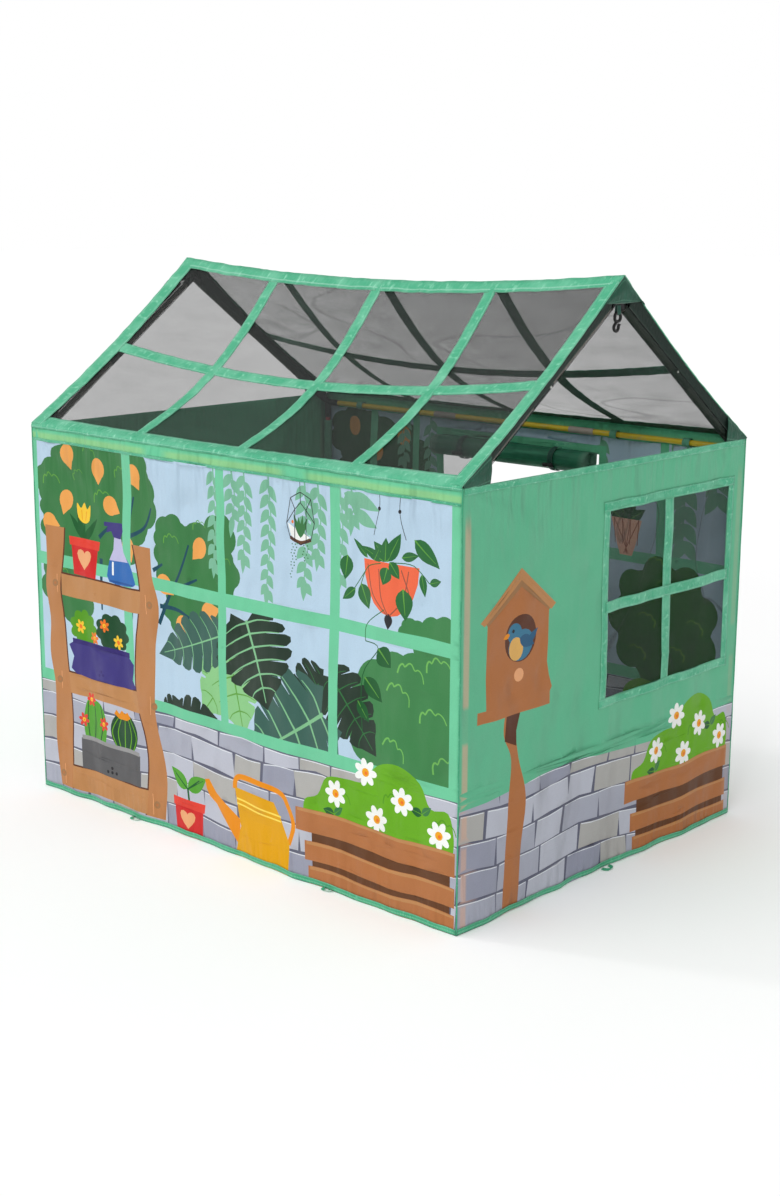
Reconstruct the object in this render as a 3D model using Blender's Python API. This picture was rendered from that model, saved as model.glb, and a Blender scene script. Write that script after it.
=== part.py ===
"""Play tent shaped like a small greenhouse: four corner posts, two eave rails and four rafters
carry a fabric cover with a mesh roof, a mesh window in the right end and a rolled-up door at the back.

The origin is on the floor under the middle of the tent. +X runs along the ridge to the window end,
+Y to the back wall with the door and +Z up. Everything is in metres.
"""

import math

import bmesh
import bpy
from mathutils import Vector

# The cover's outer size.
LENGTH = 1.100
WIDTH = 0.814
EAVE_HEIGHT = 0.739
RIDGE_HEIGHT = 1.046
FABRIC = 0.0015
GAP = 0.0003

# Roof slack: how far the ridge, the rakes and the middle of a slope hang below straight lines.
RIDGE_SAG = 0.026
RAKE_SAG = 0.012
SLOPE_SAG = 0.028
ROOF_COLUMNS = 8
ROOF_ROWS = 4

# Poles and the sleeves that join them.
TUBE_RADIUS = 0.0055
TUBE_WALL = 0.0010
SOCKET_BORE = TUBE_RADIUS + GAP
SOCKET_RADIUS = SOCKET_BORE + 0.0010
FERRULE_LENGTH = 0.060
ROUND_STEPS = 16

# Where the poles' axes meet, in the right-hand back corner and under the ridge.
CORNER = Vector((0.535, 0.3965, 0.718))
APEX_HEIGHT = 1.008
CORE_RADIUS = 0.0078
BORE_START = 0.0085
HUB_REACH = 0.034
ELBOW_REACH = 0.026
RAIL_JOINT_X = 0.180
POST_JOINT_Z = 0.352
CAP_HEIGHT = 0.016
CAP_FLOOR = 0.003
CAP_RADIUS = 0.0085

# Spring button that locks the upper rafter section into its ferrule.
BUTTON_OFFSET = 0.020
BUTTON_RADIUS = 0.0024
BUTTON_HOLE = 0.0028
BUTTON_FLANGE = 0.0030
BUTTON_INNER = 0.0010
BUTTON_RISE = 0.0020

# Doorway in the back wall and the flap rolled up above it.
DOOR_MIDDLE_X = 0.010
DOOR_WIDTH = 0.410
DOOR_TOP = 0.672
ROLL_RADIUS = 0.0235
ROLL_HEIGHT = 0.658
ROLL_Y = WIDTH / 2 - 2 * FABRIC - ROLL_RADIUS
TOGGLE_SPREAD = 0.120
TOGGLE_RADIUS = 0.0045
TOGGLE_LENGTH = 0.024
TOGGLE_Y = ROLL_Y - ROLL_RADIUS - 0.0010 - TOGGLE_RADIUS
TOGGLE_HEIGHT = 0.648

# Mesh window in the right end wall.
WINDOW_LOW_Y = -0.021
WINDOW_HIGH_Y = 0.357
WINDOW_LOW_Z = 0.323
WINDOW_HIGH_Z = 0.653
WINDOW_OVERLAP = 0.008
MESH_THICKNESS = 0.0008

# Hook on its webbing loop, hanging outside the right elbow.
HOOK_X = 0.5462
HOOK_Y = -0.0097
EYE_HEIGHT = 0.9786
EYE_HALF_WIDTH = 0.0080
EYE_HALF_HEIGHT = 0.0070
EYE_SQUARENESS = 2.6
WIRE_RADIUS = 0.0018
STRAP_TOP = 0.9985
STRAP_WIDTH = 0.0065
STRAP_THICKNESS = 0.0010

SIDES = {"left": -1, "right": 1}
FACES = {"front": -1, "back": 1}


def clear_scene():
    for item in list(bpy.data.objects):
        bpy.data.objects.remove(item, do_unlink=True)


def material(name, color, roughness, metallic=0.0):
    made = bpy.data.materials.get(name)
    if made is None:
        made = bpy.data.materials.new(name)
        made.use_nodes = True
        shader = made.node_tree.nodes["Principled BSDF"]
        shader.inputs["Base Color"].default_value = (*color, 1.0)
        shader.inputs["Roughness"].default_value = roughness
        shader.inputs["Metallic"].default_value = metallic
    return made


def red_paint():
    return material("red_paint", (0.62, 0.03, 0.03), 0.35)


def yellow_paint():
    return material("yellow_paint", (0.85, 0.62, 0.03), 0.35)


def grey_paint():
    return material("grey_paint", (0.55, 0.55, 0.54), 0.40)


def ferrule_steel():
    return material("ferrule_steel", (0.20, 0.20, 0.21), 0.35, 0.8)


def bright_steel():
    return material("bright_steel", (0.75, 0.75, 0.76), 0.20, 1.0)


def black_plastic():
    return material("black_plastic", (0.02, 0.02, 0.02), 0.45)


def green_fabric():
    return material("green_fabric", (0.16, 0.42, 0.27), 0.75)


def dark_green_fabric():
    return material("dark_green_fabric", (0.02, 0.09, 0.06), 0.75)


def dark_mesh():
    return material("dark_mesh", (0.05, 0.05, 0.05), 0.80)


def mesh_object(name, bm, finish, smooth=True):
    """Turn bmesh data into a named object with its faces pointing out."""
    bmesh.ops.remove_doubles(bm, verts=bm.verts, dist=1e-6)
    bmesh.ops.recalc_face_normals(bm, faces=bm.faces)
    mesh = bpy.data.meshes.new(name)
    bm.to_mesh(mesh)
    bm.free()
    if smooth:
        mesh.shade_smooth()
        mesh.set_sharp_from_angle(angle=math.radians(40))
    made = bpy.data.objects.new(name, mesh)
    made.data.materials.append(finish)
    bpy.context.scene.collection.objects.link(made)
    return made


def turned(name, profile, finish, closed=False):
    """Spin a profile of (radius, height) points about local Z; a closed profile makes a ring."""
    bm = bmesh.new()
    points = [bm.verts.new((radius, 0.0, height)) for radius, height in profile]
    edges = [bm.edges.new(pair) for pair in zip(points, points[1:])]
    if closed:
        edges.append(bm.edges.new((points[-1], points[0])))
    bmesh.ops.spin(
        bm, geom=points + edges, cent=(0, 0, 0), axis=(0, 0, 1),
        angle=math.tau, steps=ROUND_STEPS, use_merge=True,
    )
    return mesh_object(name, bm, finish)


def box(name, low, high, finish):
    """Axis-aligned box between two corners, its origin in its middle."""
    low, high = Vector(low), Vector(high)
    bm = bmesh.new()
    bmesh.ops.create_cube(bm, size=1.0)
    bmesh.ops.scale(bm, vec=high - low, verts=bm.verts)
    made = mesh_object(name, bm, finish, smooth=False)
    made.location = (low + high) / 2
    return made


def rod(radius, start, end):
    """Plain cylinder from start to end, used to cut holes and to build sockets."""
    length = (end - start).length
    made = turned("rod", [(0, 0), (radius, 0), (radius, length), (0, length)], black_plastic())
    aim(made, start, end - start)
    return made


def aim(item, start, direction):
    """Put the object's origin at start with its local Z along direction."""
    item.location = start
    item.rotation_mode = "QUATERNION"
    item.rotation_quaternion = direction.to_track_quat("Z", "Y")


def combine(target, other, operation):
    """Join other to target, or cut it away, and drop the helper."""
    other.display_type = "WIRE"
    other.hide_render = True
    step = target.modifiers.new(operation.lower(), "BOOLEAN")
    step.operation = operation
    step.object = other
    step.solver = "EXACT"
    bpy.context.view_layer.update()
    shape = bpy.data.meshes.new_from_object(target.evaluated_get(bpy.context.evaluated_depsgraph_get()))
    target.modifiers.remove(step)
    target.data = shape
    bpy.data.objects.remove(other, do_unlink=True)


def tube(name, start, end, finish):
    """Hollow pole section between two points."""
    inner = TUBE_RADIUS - TUBE_WALL
    length = (end - start).length
    ring = [(TUBE_RADIUS, 0), (TUBE_RADIUS, length), (inner, length), (inner, 0)]
    made = turned(name, ring, finish, closed=True)
    aim(made, start, end - start)
    return made


def ferrule(name, middle, direction):
    """Sleeve over the butted ends of two pole sections."""
    ring = [
        (SOCKET_RADIUS, 0), (SOCKET_RADIUS, FERRULE_LENGTH),
        (SOCKET_BORE, FERRULE_LENGTH), (SOCKET_BORE, 0),
    ]
    made = turned(name, ring, ferrule_steel(), closed=True)
    aim(made, middle - direction * FERRULE_LENGTH / 2, direction)
    return made


def socketed_core(name, centre, directions, reach):
    """Ball with one blind socket along each direction."""
    arc = [math.pi * step / 8 - math.pi / 2 for step in range(9)]
    ball = [(CORE_RADIUS * math.cos(turn), CORE_RADIUS * math.sin(turn)) for turn in arc]
    ball[0] = (0, -CORE_RADIUS)
    ball[-1] = (0, CORE_RADIUS)
    made = turned(name, ball, black_plastic())
    made.location = centre
    for direction in directions:
        combine(made, rod(SOCKET_RADIUS, centre, centre + direction * reach), "UNION")
    for direction in directions:
        bottom = centre + direction * (BORE_START - GAP)
        combine(made, rod(SOCKET_BORE, bottom, centre + direction * (reach + 0.01)), "DIFFERENCE")
    made.data.shade_smooth()
    made.data.set_sharp_from_angle(angle=math.radians(40))
    return made


def at_corner(side, face):
    return Vector((SIDES[side] * CORNER.x, FACES[face] * CORNER.y, CORNER.z))


def apex(side):
    return Vector((SIDES[side] * CORNER.x, 0.0, APEX_HEIGHT))


def build_post(side, face):
    """Two red sections, their ferrule and the cap that stands on the floor."""
    corner = at_corner(side, face)
    down = Vector((0, 0, -1))
    joint = Vector((corner.x, corner.y, POST_JOINT_Z))
    foot = Vector((corner.x, corner.y, CAP_FLOOR + GAP))
    tube(f"post_{face}_{side}_lower", foot, joint + down * GAP / 2, red_paint())
    tube(f"post_{face}_{side}_upper", joint - down * GAP / 2, corner + down * BORE_START, red_paint())
    ferrule(f"post_ferrule_{face}_{side}", joint, down)
    cap = [
        (0, 0), (CAP_RADIUS, 0), (CAP_RADIUS, CAP_HEIGHT),
        (SOCKET_BORE, CAP_HEIGHT), (SOCKET_BORE, CAP_FLOOR), (0, CAP_FLOOR),
    ]
    turned(f"foot_cap_{face}_{side}", cap, black_plastic()).location = (corner.x, corner.y, 0)


def build_rail(face):
    """Three yellow sections along one eave with a ferrule at each joint."""
    along = Vector((1, 0, 0))
    ends = [at_corner("left", face) + along * BORE_START, at_corner("right", face) - along * BORE_START]
    joints = [Vector((x, ends[0].y, ends[0].z)) for x in (-RAIL_JOINT_X, RAIL_JOINT_X)]
    half_gap = along * GAP / 2
    tube(f"eave_rail_{face}_left", ends[0], joints[0] - half_gap, yellow_paint())
    tube(f"eave_rail_{face}_middle", joints[0] + half_gap, joints[1] - half_gap, yellow_paint())
    tube(f"eave_rail_{face}_right", joints[1] + half_gap, ends[1], yellow_paint())
    for side, joint in zip(SIDES, joints):
        ferrule(f"rail_ferrule_{face}_{side}", joint, along)


def build_rafter(side, face):
    """Two grey sections, their ferrule and the spring button that locks them."""
    low, high = at_corner(side, face), apex(side)
    up = (high - low).normalized()
    joint = (low + high) / 2
    tube(f"rafter_{face}_{side}_lower", low + up * BORE_START, joint - up * GAP / 2, grey_paint())
    upper = tube(f"rafter_{face}_{side}_upper", joint + up * GAP / 2, high - up * BORE_START, grey_paint())
    sleeve = ferrule(f"rafter_ferrule_{face}_{side}", joint, up)
    outward = Vector((SIDES[side], 0, 0))
    centre = joint + up * BUTTON_OFFSET
    for piece in (upper, sleeve):
        hole = rod(BUTTON_HOLE, centre + outward * BUTTON_FLANGE, centre + outward * 2 * SOCKET_RADIUS)
        combine(piece, hole, "DIFFERENCE")
    build_button(f"snap_button_{face}_{side}", centre, outward)


def build_button(name, centre, outward):
    """Domed pin with a flange that stays inside the pole."""
    shoulder = BUTTON_INNER + 0.0010
    rim = SOCKET_RADIUS + BUTTON_RISE - 0.0008
    profile = [(0, BUTTON_INNER), (BUTTON_FLANGE, BUTTON_INNER), (BUTTON_FLANGE, shoulder),
               (BUTTON_RADIUS, shoulder)]
    for step in range(5):
        turn = math.pi / 2 * step / 4
        dome = (BUTTON_RADIUS * math.cos(turn), rim + (SOCKET_RADIUS + BUTTON_RISE - rim) * math.sin(turn))
        profile.append(dome if step < 4 else (0, dome[1]))
    aim(turned(name, profile, bright_steel()), centre, outward)


def build_joints_of_frame():
    """Corner hubs and the two elbows under the ridge."""
    for side, x in SIDES.items():
        for face in FACES:
            corner = at_corner(side, face)
            arms = [Vector((0, 0, -1)), Vector((-x, 0, 0)), (apex(side) - corner).normalized()]
            socketed_core(f"corner_hub_{face}_{side}", corner, arms, HUB_REACH)
        arms = [(at_corner(side, face) - apex(side)).normalized() for face in FACES]
        socketed_core(f"apex_elbow_{side}", apex(side), arms, ELBOW_REACH)


def build_walls():
    """Four upright panels; the back one is cut for the doorway and the right one for the window."""
    half_x, half_y = LENGTH / 2, WIDTH / 2
    top = EAVE_HEIGHT - FABRIC - 3 * GAP
    box("wall_front", (-half_x, -half_y, 0), (half_x, -half_y + FABRIC, top), green_fabric())
    back = box("wall_back", (-half_x, half_y - FABRIC, 0), (half_x, half_y, top), green_fabric())
    half_door = DOOR_WIDTH / 2
    doorway = box(
        "doorway", (DOOR_MIDDLE_X - half_door, half_y - 2 * FABRIC, -0.01),
        (DOOR_MIDDLE_X + half_door, half_y + FABRIC, DOOR_TOP), green_fabric(),
    )
    combine(back, doorway, "DIFFERENCE")
    end_y = half_y - FABRIC - GAP
    box("wall_left_end", (-half_x, -end_y, 0), (-half_x + FABRIC, end_y, top), green_fabric())
    right = box("wall_right_end", (half_x - FABRIC, -end_y, 0), (half_x, end_y, top), green_fabric())
    window = box(
        "window", (half_x - 2 * FABRIC, WINDOW_LOW_Y, WINDOW_LOW_Z),
        (half_x + FABRIC, WINDOW_HIGH_Y, WINDOW_HIGH_Z), green_fabric(),
    )
    combine(right, window, "DIFFERENCE")
    screen_x = half_x - FABRIC - GAP
    box(
        "window_mesh",
        (screen_x - MESH_THICKNESS, WINDOW_LOW_Y - WINDOW_OVERLAP, WINDOW_LOW_Z - WINDOW_OVERLAP),
        (screen_x, WINDOW_HIGH_Y + WINDOW_OVERLAP, WINDOW_HIGH_Z + WINDOW_OVERLAP),
        dark_mesh(),
    )


def roof_height(x, climb):
    """Height of the roof's outer face; climb is 0 at the eave and 1 at the ridge."""
    middle = 1 - (2 * x / LENGTH) ** 2
    straight = EAVE_HEIGHT + (RIDGE_HEIGHT - EAVE_HEIGHT) * climb
    return straight - RIDGE_SAG * climb * middle - (RAKE_SAG + SLOPE_SAG * middle) * math.sin(math.pi * climb)


def build_roof(face):
    """One slack slope of the mesh roof, as a closed sheet from the eave to the ridge."""
    bm = bmesh.new()
    rows = []
    for row in range(ROOF_ROWS + 1):
        climb = row / ROOF_ROWS
        y = FACES[face] * (GAP / 2 + (WIDTH / 2 - GAP / 2) * (1 - climb))
        line = []
        for column in range(ROOF_COLUMNS + 1):
            x = LENGTH * (column / ROOF_COLUMNS - 0.5)
            line.append(bm.verts.new((x, y, roof_height(x, climb))))
        rows.append(line)
    for low, high in zip(rows, rows[1:]):
        for column in range(ROOF_COLUMNS):
            bm.faces.new((low[column], low[column + 1], high[column + 1], high[column]))
    drop = Vector((0, 0, -FABRIC / math.cos(math.atan2(RIDGE_HEIGHT - EAVE_HEIGHT, WIDTH / 2))))
    under = bmesh.ops.extrude_face_region(bm, geom=bm.faces[:], use_keep_orig=True)
    bmesh.ops.translate(bm, vec=drop, verts=[v for v in under["geom"] if isinstance(v, bmesh.types.BMVert)])
    mesh_object(f"roof_{face}", bm, dark_mesh())


def build_door():
    """Flap rolled up along the doorway's top, and the two toggles that keep it there."""
    half = DOOR_WIDTH / 2
    rounding = 0.004
    profile = [
        (0, 0), (ROLL_RADIUS - rounding, 0), (ROLL_RADIUS, rounding),
        (ROLL_RADIUS, DOOR_WIDTH - rounding), (ROLL_RADIUS - rounding, DOOR_WIDTH), (0, DOOR_WIDTH),
    ]
    roll = turned("door_roll", profile, dark_green_fabric())
    aim(roll, Vector((DOOR_MIDDLE_X - half, ROLL_Y, ROLL_HEIGHT)), Vector((1, 0, 0)))
    for side, x in SIDES.items():
        build_toggle(f"door_toggle_{side}", DOOR_MIDDLE_X + x * TOGGLE_SPREAD)


def build_toggle(name, x):
    """Barrel with a waist for its cord; its origin is its middle."""
    half = TOGGLE_LENGTH / 2
    waist = TOGGLE_RADIUS * 0.72
    profile = [
        (0, -half), (TOGGLE_RADIUS * 0.75, -half), (TOGGLE_RADIUS, -half * 0.8),
        (TOGGLE_RADIUS, -half * 0.35), (waist, -half * 0.15), (waist, half * 0.15),
        (TOGGLE_RADIUS, half * 0.35), (TOGGLE_RADIUS, half * 0.8), (TOGGLE_RADIUS * 0.75, half), (0, half),
    ]
    aim(turned(name, profile, black_plastic()), Vector((x, TOGGLE_Y, TOGGLE_HEIGHT)), Vector((1, 0, 0)))


def wire(name, points, closed):
    """Round bar along a line of points."""
    curve = bpy.data.curves.new(name, "CURVE")
    curve.dimensions = "3D"
    curve.bevel_depth = WIRE_RADIUS
    curve.bevel_resolution = 2
    curve.use_fill_caps = True
    spline = curve.splines.new("POLY")
    spline.points.add(len(points) - 1)
    for slot, place in zip(spline.points, points):
        slot.co = (*place, 1.0)
    spline.use_cyclic_u = closed
    guide = bpy.data.objects.new(name, curve)
    bpy.context.scene.collection.objects.link(guide)
    bpy.context.view_layer.update()
    bm = bmesh.new()
    bm.from_mesh(bpy.data.meshes.new_from_object(guide))
    bpy.data.objects.remove(guide, do_unlink=True)
    return mesh_object(name, bm, black_plastic())


def eye_points():
    """Rounded oblong of the hook's eye about its own middle, in the (y, z) plane."""
    points = []
    for step in range(24):
        turn = math.tau * step / 24
        across, up = math.cos(turn), math.sin(turn)
        y = math.copysign(abs(across) ** (2 / EYE_SQUARENESS), across) * EYE_HALF_WIDTH
        z = math.copysign(abs(up) ** (2 / EYE_SQUARENESS), up) * EYE_HALF_HEIGHT
        points.append(Vector((0, y, z)))
    return points


def claw_points():
    """Neck from under the eye and the open claw, which curls up towards the back."""
    middle_y, middle_z, radius = -0.0035, -0.0165, 0.0065
    points = [Vector((0, -0.0010, -EYE_HALF_HEIGHT)), Vector((0, -0.0055, -0.0105))]
    for step in range(11):
        turn = math.radians(165 + 205 * step / 10)
        points.append(Vector((0, middle_y + radius * math.cos(turn), middle_z + radius * math.sin(turn))))
    points.append(Vector((0, 0.0050, -0.0120)))
    return points


def build_hook():
    """Plastic hook hanging by its eye from a loop of webbing."""
    centre = Vector((HOOK_X, HOOK_Y, EYE_HEIGHT))
    hook = wire("hanging_hook", eye_points(), closed=True)
    combine(hook, wire("claw", claw_points(), closed=False), "UNION")
    hook.data.shade_smooth()
    hook.location = centre
    build_strap(centre.z + EYE_HALF_HEIGHT)


def build_strap(bar_height):
    """Flat loop of webbing round the top bar of the eye; its origin is where it is sewn on."""
    inner = WIRE_RADIUS + GAP
    outer = inner + STRAP_THICKNESS
    rise = STRAP_TOP - outer - bar_height
    bm = bmesh.new()
    rings = []
    for radius in (outer, inner):
        ring = []
        for middle, first in ((0.0, math.pi), (rise, 0.0)):
            for step in range(9):
                turn = first + math.pi * step / 8
                ring.append(bm.verts.new((
                    radius * math.cos(turn), -STRAP_WIDTH / 2,
                    bar_height - STRAP_TOP + middle + radius * math.sin(turn),
                )))
        rings.append(ring)
    for index in range(len(rings[0])):
        following = (index + 1) % len(rings[0])
        bm.faces.new((rings[0][index], rings[0][following], rings[1][following], rings[1][index]))
    side = bmesh.ops.extrude_face_region(bm, geom=bm.faces[:], use_keep_orig=True)
    moved = [v for v in side["geom"] if isinstance(v, bmesh.types.BMVert)]
    bmesh.ops.translate(bm, vec=(0, STRAP_WIDTH, 0), verts=moved)
    strap = mesh_object("hook_strap", bm, dark_green_fabric())
    strap.location = (HOOK_X, HOOK_Y, STRAP_TOP)


def main():
    clear_scene()
    for side in SIDES:
        for face in FACES:
            build_post(side, face)
            build_rafter(side, face)
    for face in FACES:
        build_rail(face)
        build_roof(face)
    build_joints_of_frame()
    build_walls()
    build_door()
    build_hook()


main()
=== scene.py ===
"""Looks of a play tent printed as a small greenhouse: printed walls, a net roof with green tapes,
a net window, a rolled-up door, a pole frame and a hanging hook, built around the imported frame.

Everything is in metres: +X along the ridge to the window end, +Y to the door side, +Z up.
"""

import logging
import random
from dataclasses import dataclass, field
from enum import Enum
from math import atan2, ceil, copysign, cos, exp, hypot, pi, radians, sin
from typing import Callable, Sequence

import bpy
from mathutils import Matrix, Vector, noise
from mathutils.geometry import delaunay_2d_cdt


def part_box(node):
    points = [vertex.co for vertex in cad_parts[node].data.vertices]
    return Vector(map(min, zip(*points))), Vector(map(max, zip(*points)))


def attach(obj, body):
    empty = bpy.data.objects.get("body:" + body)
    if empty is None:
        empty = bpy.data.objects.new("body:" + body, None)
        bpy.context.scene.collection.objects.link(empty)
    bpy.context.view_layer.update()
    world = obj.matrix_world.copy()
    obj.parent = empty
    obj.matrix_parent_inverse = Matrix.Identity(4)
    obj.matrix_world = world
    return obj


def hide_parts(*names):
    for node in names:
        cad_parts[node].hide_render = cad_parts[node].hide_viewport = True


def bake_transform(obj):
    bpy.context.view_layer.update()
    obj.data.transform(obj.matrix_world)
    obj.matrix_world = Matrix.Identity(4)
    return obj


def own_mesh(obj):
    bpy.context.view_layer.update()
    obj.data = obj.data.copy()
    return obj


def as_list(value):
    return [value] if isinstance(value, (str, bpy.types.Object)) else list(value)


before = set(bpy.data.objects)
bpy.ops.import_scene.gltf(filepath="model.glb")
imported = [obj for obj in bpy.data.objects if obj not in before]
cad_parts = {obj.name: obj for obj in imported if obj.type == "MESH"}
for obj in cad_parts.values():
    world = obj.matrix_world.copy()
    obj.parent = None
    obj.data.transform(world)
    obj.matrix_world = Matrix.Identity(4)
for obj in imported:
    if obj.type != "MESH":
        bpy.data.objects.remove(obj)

LOG = logging.getLogger("play_tent")
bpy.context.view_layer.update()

SIDES = ((-1, "front"), (1, "back"))
ENDS = ((-1, "left"), (1, "right"))
Pair = tuple[float, float]
Outline = list[Pair]
Place = Callable[[float, float], Vector]
Colour = tuple[int, int, int]
Piece = bpy.types.Object
Socket = bpy.types.NodeSocket
Material = bpy.types.Material

UP = Vector((0.0, 0.0, 1.0))
HALF_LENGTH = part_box("roof_front")[1].x
HALF_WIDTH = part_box("wall_back")[1].y
EAVE_HEIGHT = 0.739
RIDGE_HEIGHT = 1.046
WALL_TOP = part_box("wall_front")[1].z
CLOTH = 0.0006
TAU = 2 * pi


def linear(channels: Sequence[int]) -> tuple[float, float, float, float]:
    """Turns a display colour from 0 to 255 into linear red, green, blue and an alpha of 1."""
    parts = [c / 255 for c in channels]
    return (*[p / 12.92 if p <= 0.04045 else ((p + 0.055) / 1.055) ** 2.4 for p in parts], 1.0)


def smoothstep(low: float, high: float, value: float) -> float:
    """Rises softly from 0 where the value is low to 1 where it is high."""
    share = clamp((value - low) / (high - low))
    return share * share * (3 - 2 * share)


def clamp(value: float) -> float:
    """The value, kept between 0 and 1."""
    return min(1.0, max(0.0, value))


def drift(a: float, b: float, c: float) -> float:
    """Soft noise from about -1 to 1 at a place."""
    return noise.noise(Vector((a, b, c)))


def milli(*values: float, size: int = 2) -> list[tuple[float, ...]]:
    """Rows of so many values each, given in millimetres or other thousandths."""
    return [tuple(value / 1000 for value in values[k:k + size]) for k in range(0, len(values), size)]


def curve_through(points: Sequence[Pair], closed: bool = False, steps: int = 5) -> Outline:
    """Rounds a few guide points into a smooth line.

    Args:
        points, closed: the guide points, and whether the last one joins the first.
        steps: points per stretch.

    Returns:
        The points along the smooth line.
    """
    count = len(points)
    line: Outline = []
    for i in range(count if closed else count - 1):
        picks = [points[(i + k) % count] if closed else points[min(max(i + k, 0), count - 1)]
            for k in (-1, 0, 1, 2)]
        for step in range(steps):
            t = step / steps
            shares = (-0.5 * t + t * t - 0.5 * t ** 3, 1 - 2.5 * t * t + 1.5 * t ** 3, 0.5 * t + 2 * t * t
                - 1.5 * t ** 3, -0.5 * t * t + 0.5 * t ** 3)
            line.append(tuple(sum(s * p[axis] for s, p in zip(shares, picks)) for axis in (0, 1)))
    if not closed:
        line.append(tuple(points[-1]))
    return line


class Ink(Enum):
    """Colours of the printed cloth, as hexadecimal display red, green and blue."""

    WALL_GREEN = "64ba92"
    FRAME_GREEN = "70ca9e"
    BAND_GREEN = "68c89a"
    SKY = "b8d1e4"
    TREE = "3a7a44"
    TREE_DARK = "1e5c2e"
    TREE_DEEP = "1e7018"
    HEDGE = "40824c"
    HEDGE_LIGHT = "70b65a"
    TREE_LIGHT = "60a040"
    BRANCH = "18485a"
    FRUIT = "eea554"
    WOOD = "be8856"
    WOOD_DARK = "b27244"
    WOOD_RAIL = "ba8050"
    WOOD_SHADE = "5c3422"
    KNOT = "a0764e"
    SLAT_SHADE = "643e24"
    RED = "d02a2a"
    RED_DEEP = "e24234"
    CREAM = "ecaa78"
    YELLOW = "f6c834"
    CAN = "e0a206"
    CAN_DARK = "e88e0e"
    CAN_LIGHT = "fcde5c"
    PURPLE = "3e367e"
    PURPLE_DARK = "322670"
    LILAC = "bebcde"
    BLUE = "306ab2"
    BLUE_DARK = "265498"
    GREY = "5c5c5e"
    GREY_LIGHT = "969696"
    BLACK = "28282c"
    CACTUS = "54a032"
    CACTUS_DARK = "1e4a2c"
    BUSH = "68ac1c"
    BUSH_SHADE = "54981a"
    WHITE = "f6f8f4"
    DAISY_HEART = "f0a61e"
    ORANGE = "f07828"
    LEAF_BLACK = "26382c"
    LEAF_BLUE = "3c6258"
    LEAF_VEIN = "80be8c"
    LEAF_PALE = "8cc888"
    LEAF_GREEN = "2e6c3a"
    VINE = "7ab898"
    BASKET = "ee6a46"
    SALMON = "f0b89e"
    SALMON_LINE = "965442"
    MORTAR = "626476"
    CHALK = "e2e6ec"
    STONE_PALE = "bcbfcb"
    STONE = "aaadbb"
    STONE_COOL = "989bac"
    STONE_WARM = "b0afac"
    BIRD = "3c7896"
    BIRD_WING = "2c5c7e"
    BIRD_BREAST = "e2b060"

    @property
    def light(self) -> tuple[float, float, float, float]:
        """The ink as a linear colour."""
        return linear(bytes.fromhex(self.value))


STONES = (Ink.STONE_PALE, Ink.STONE, Ink.STONE_COOL, Ink.STONE_PALE, Ink.STONE, Ink.STONE_WARM)


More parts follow.
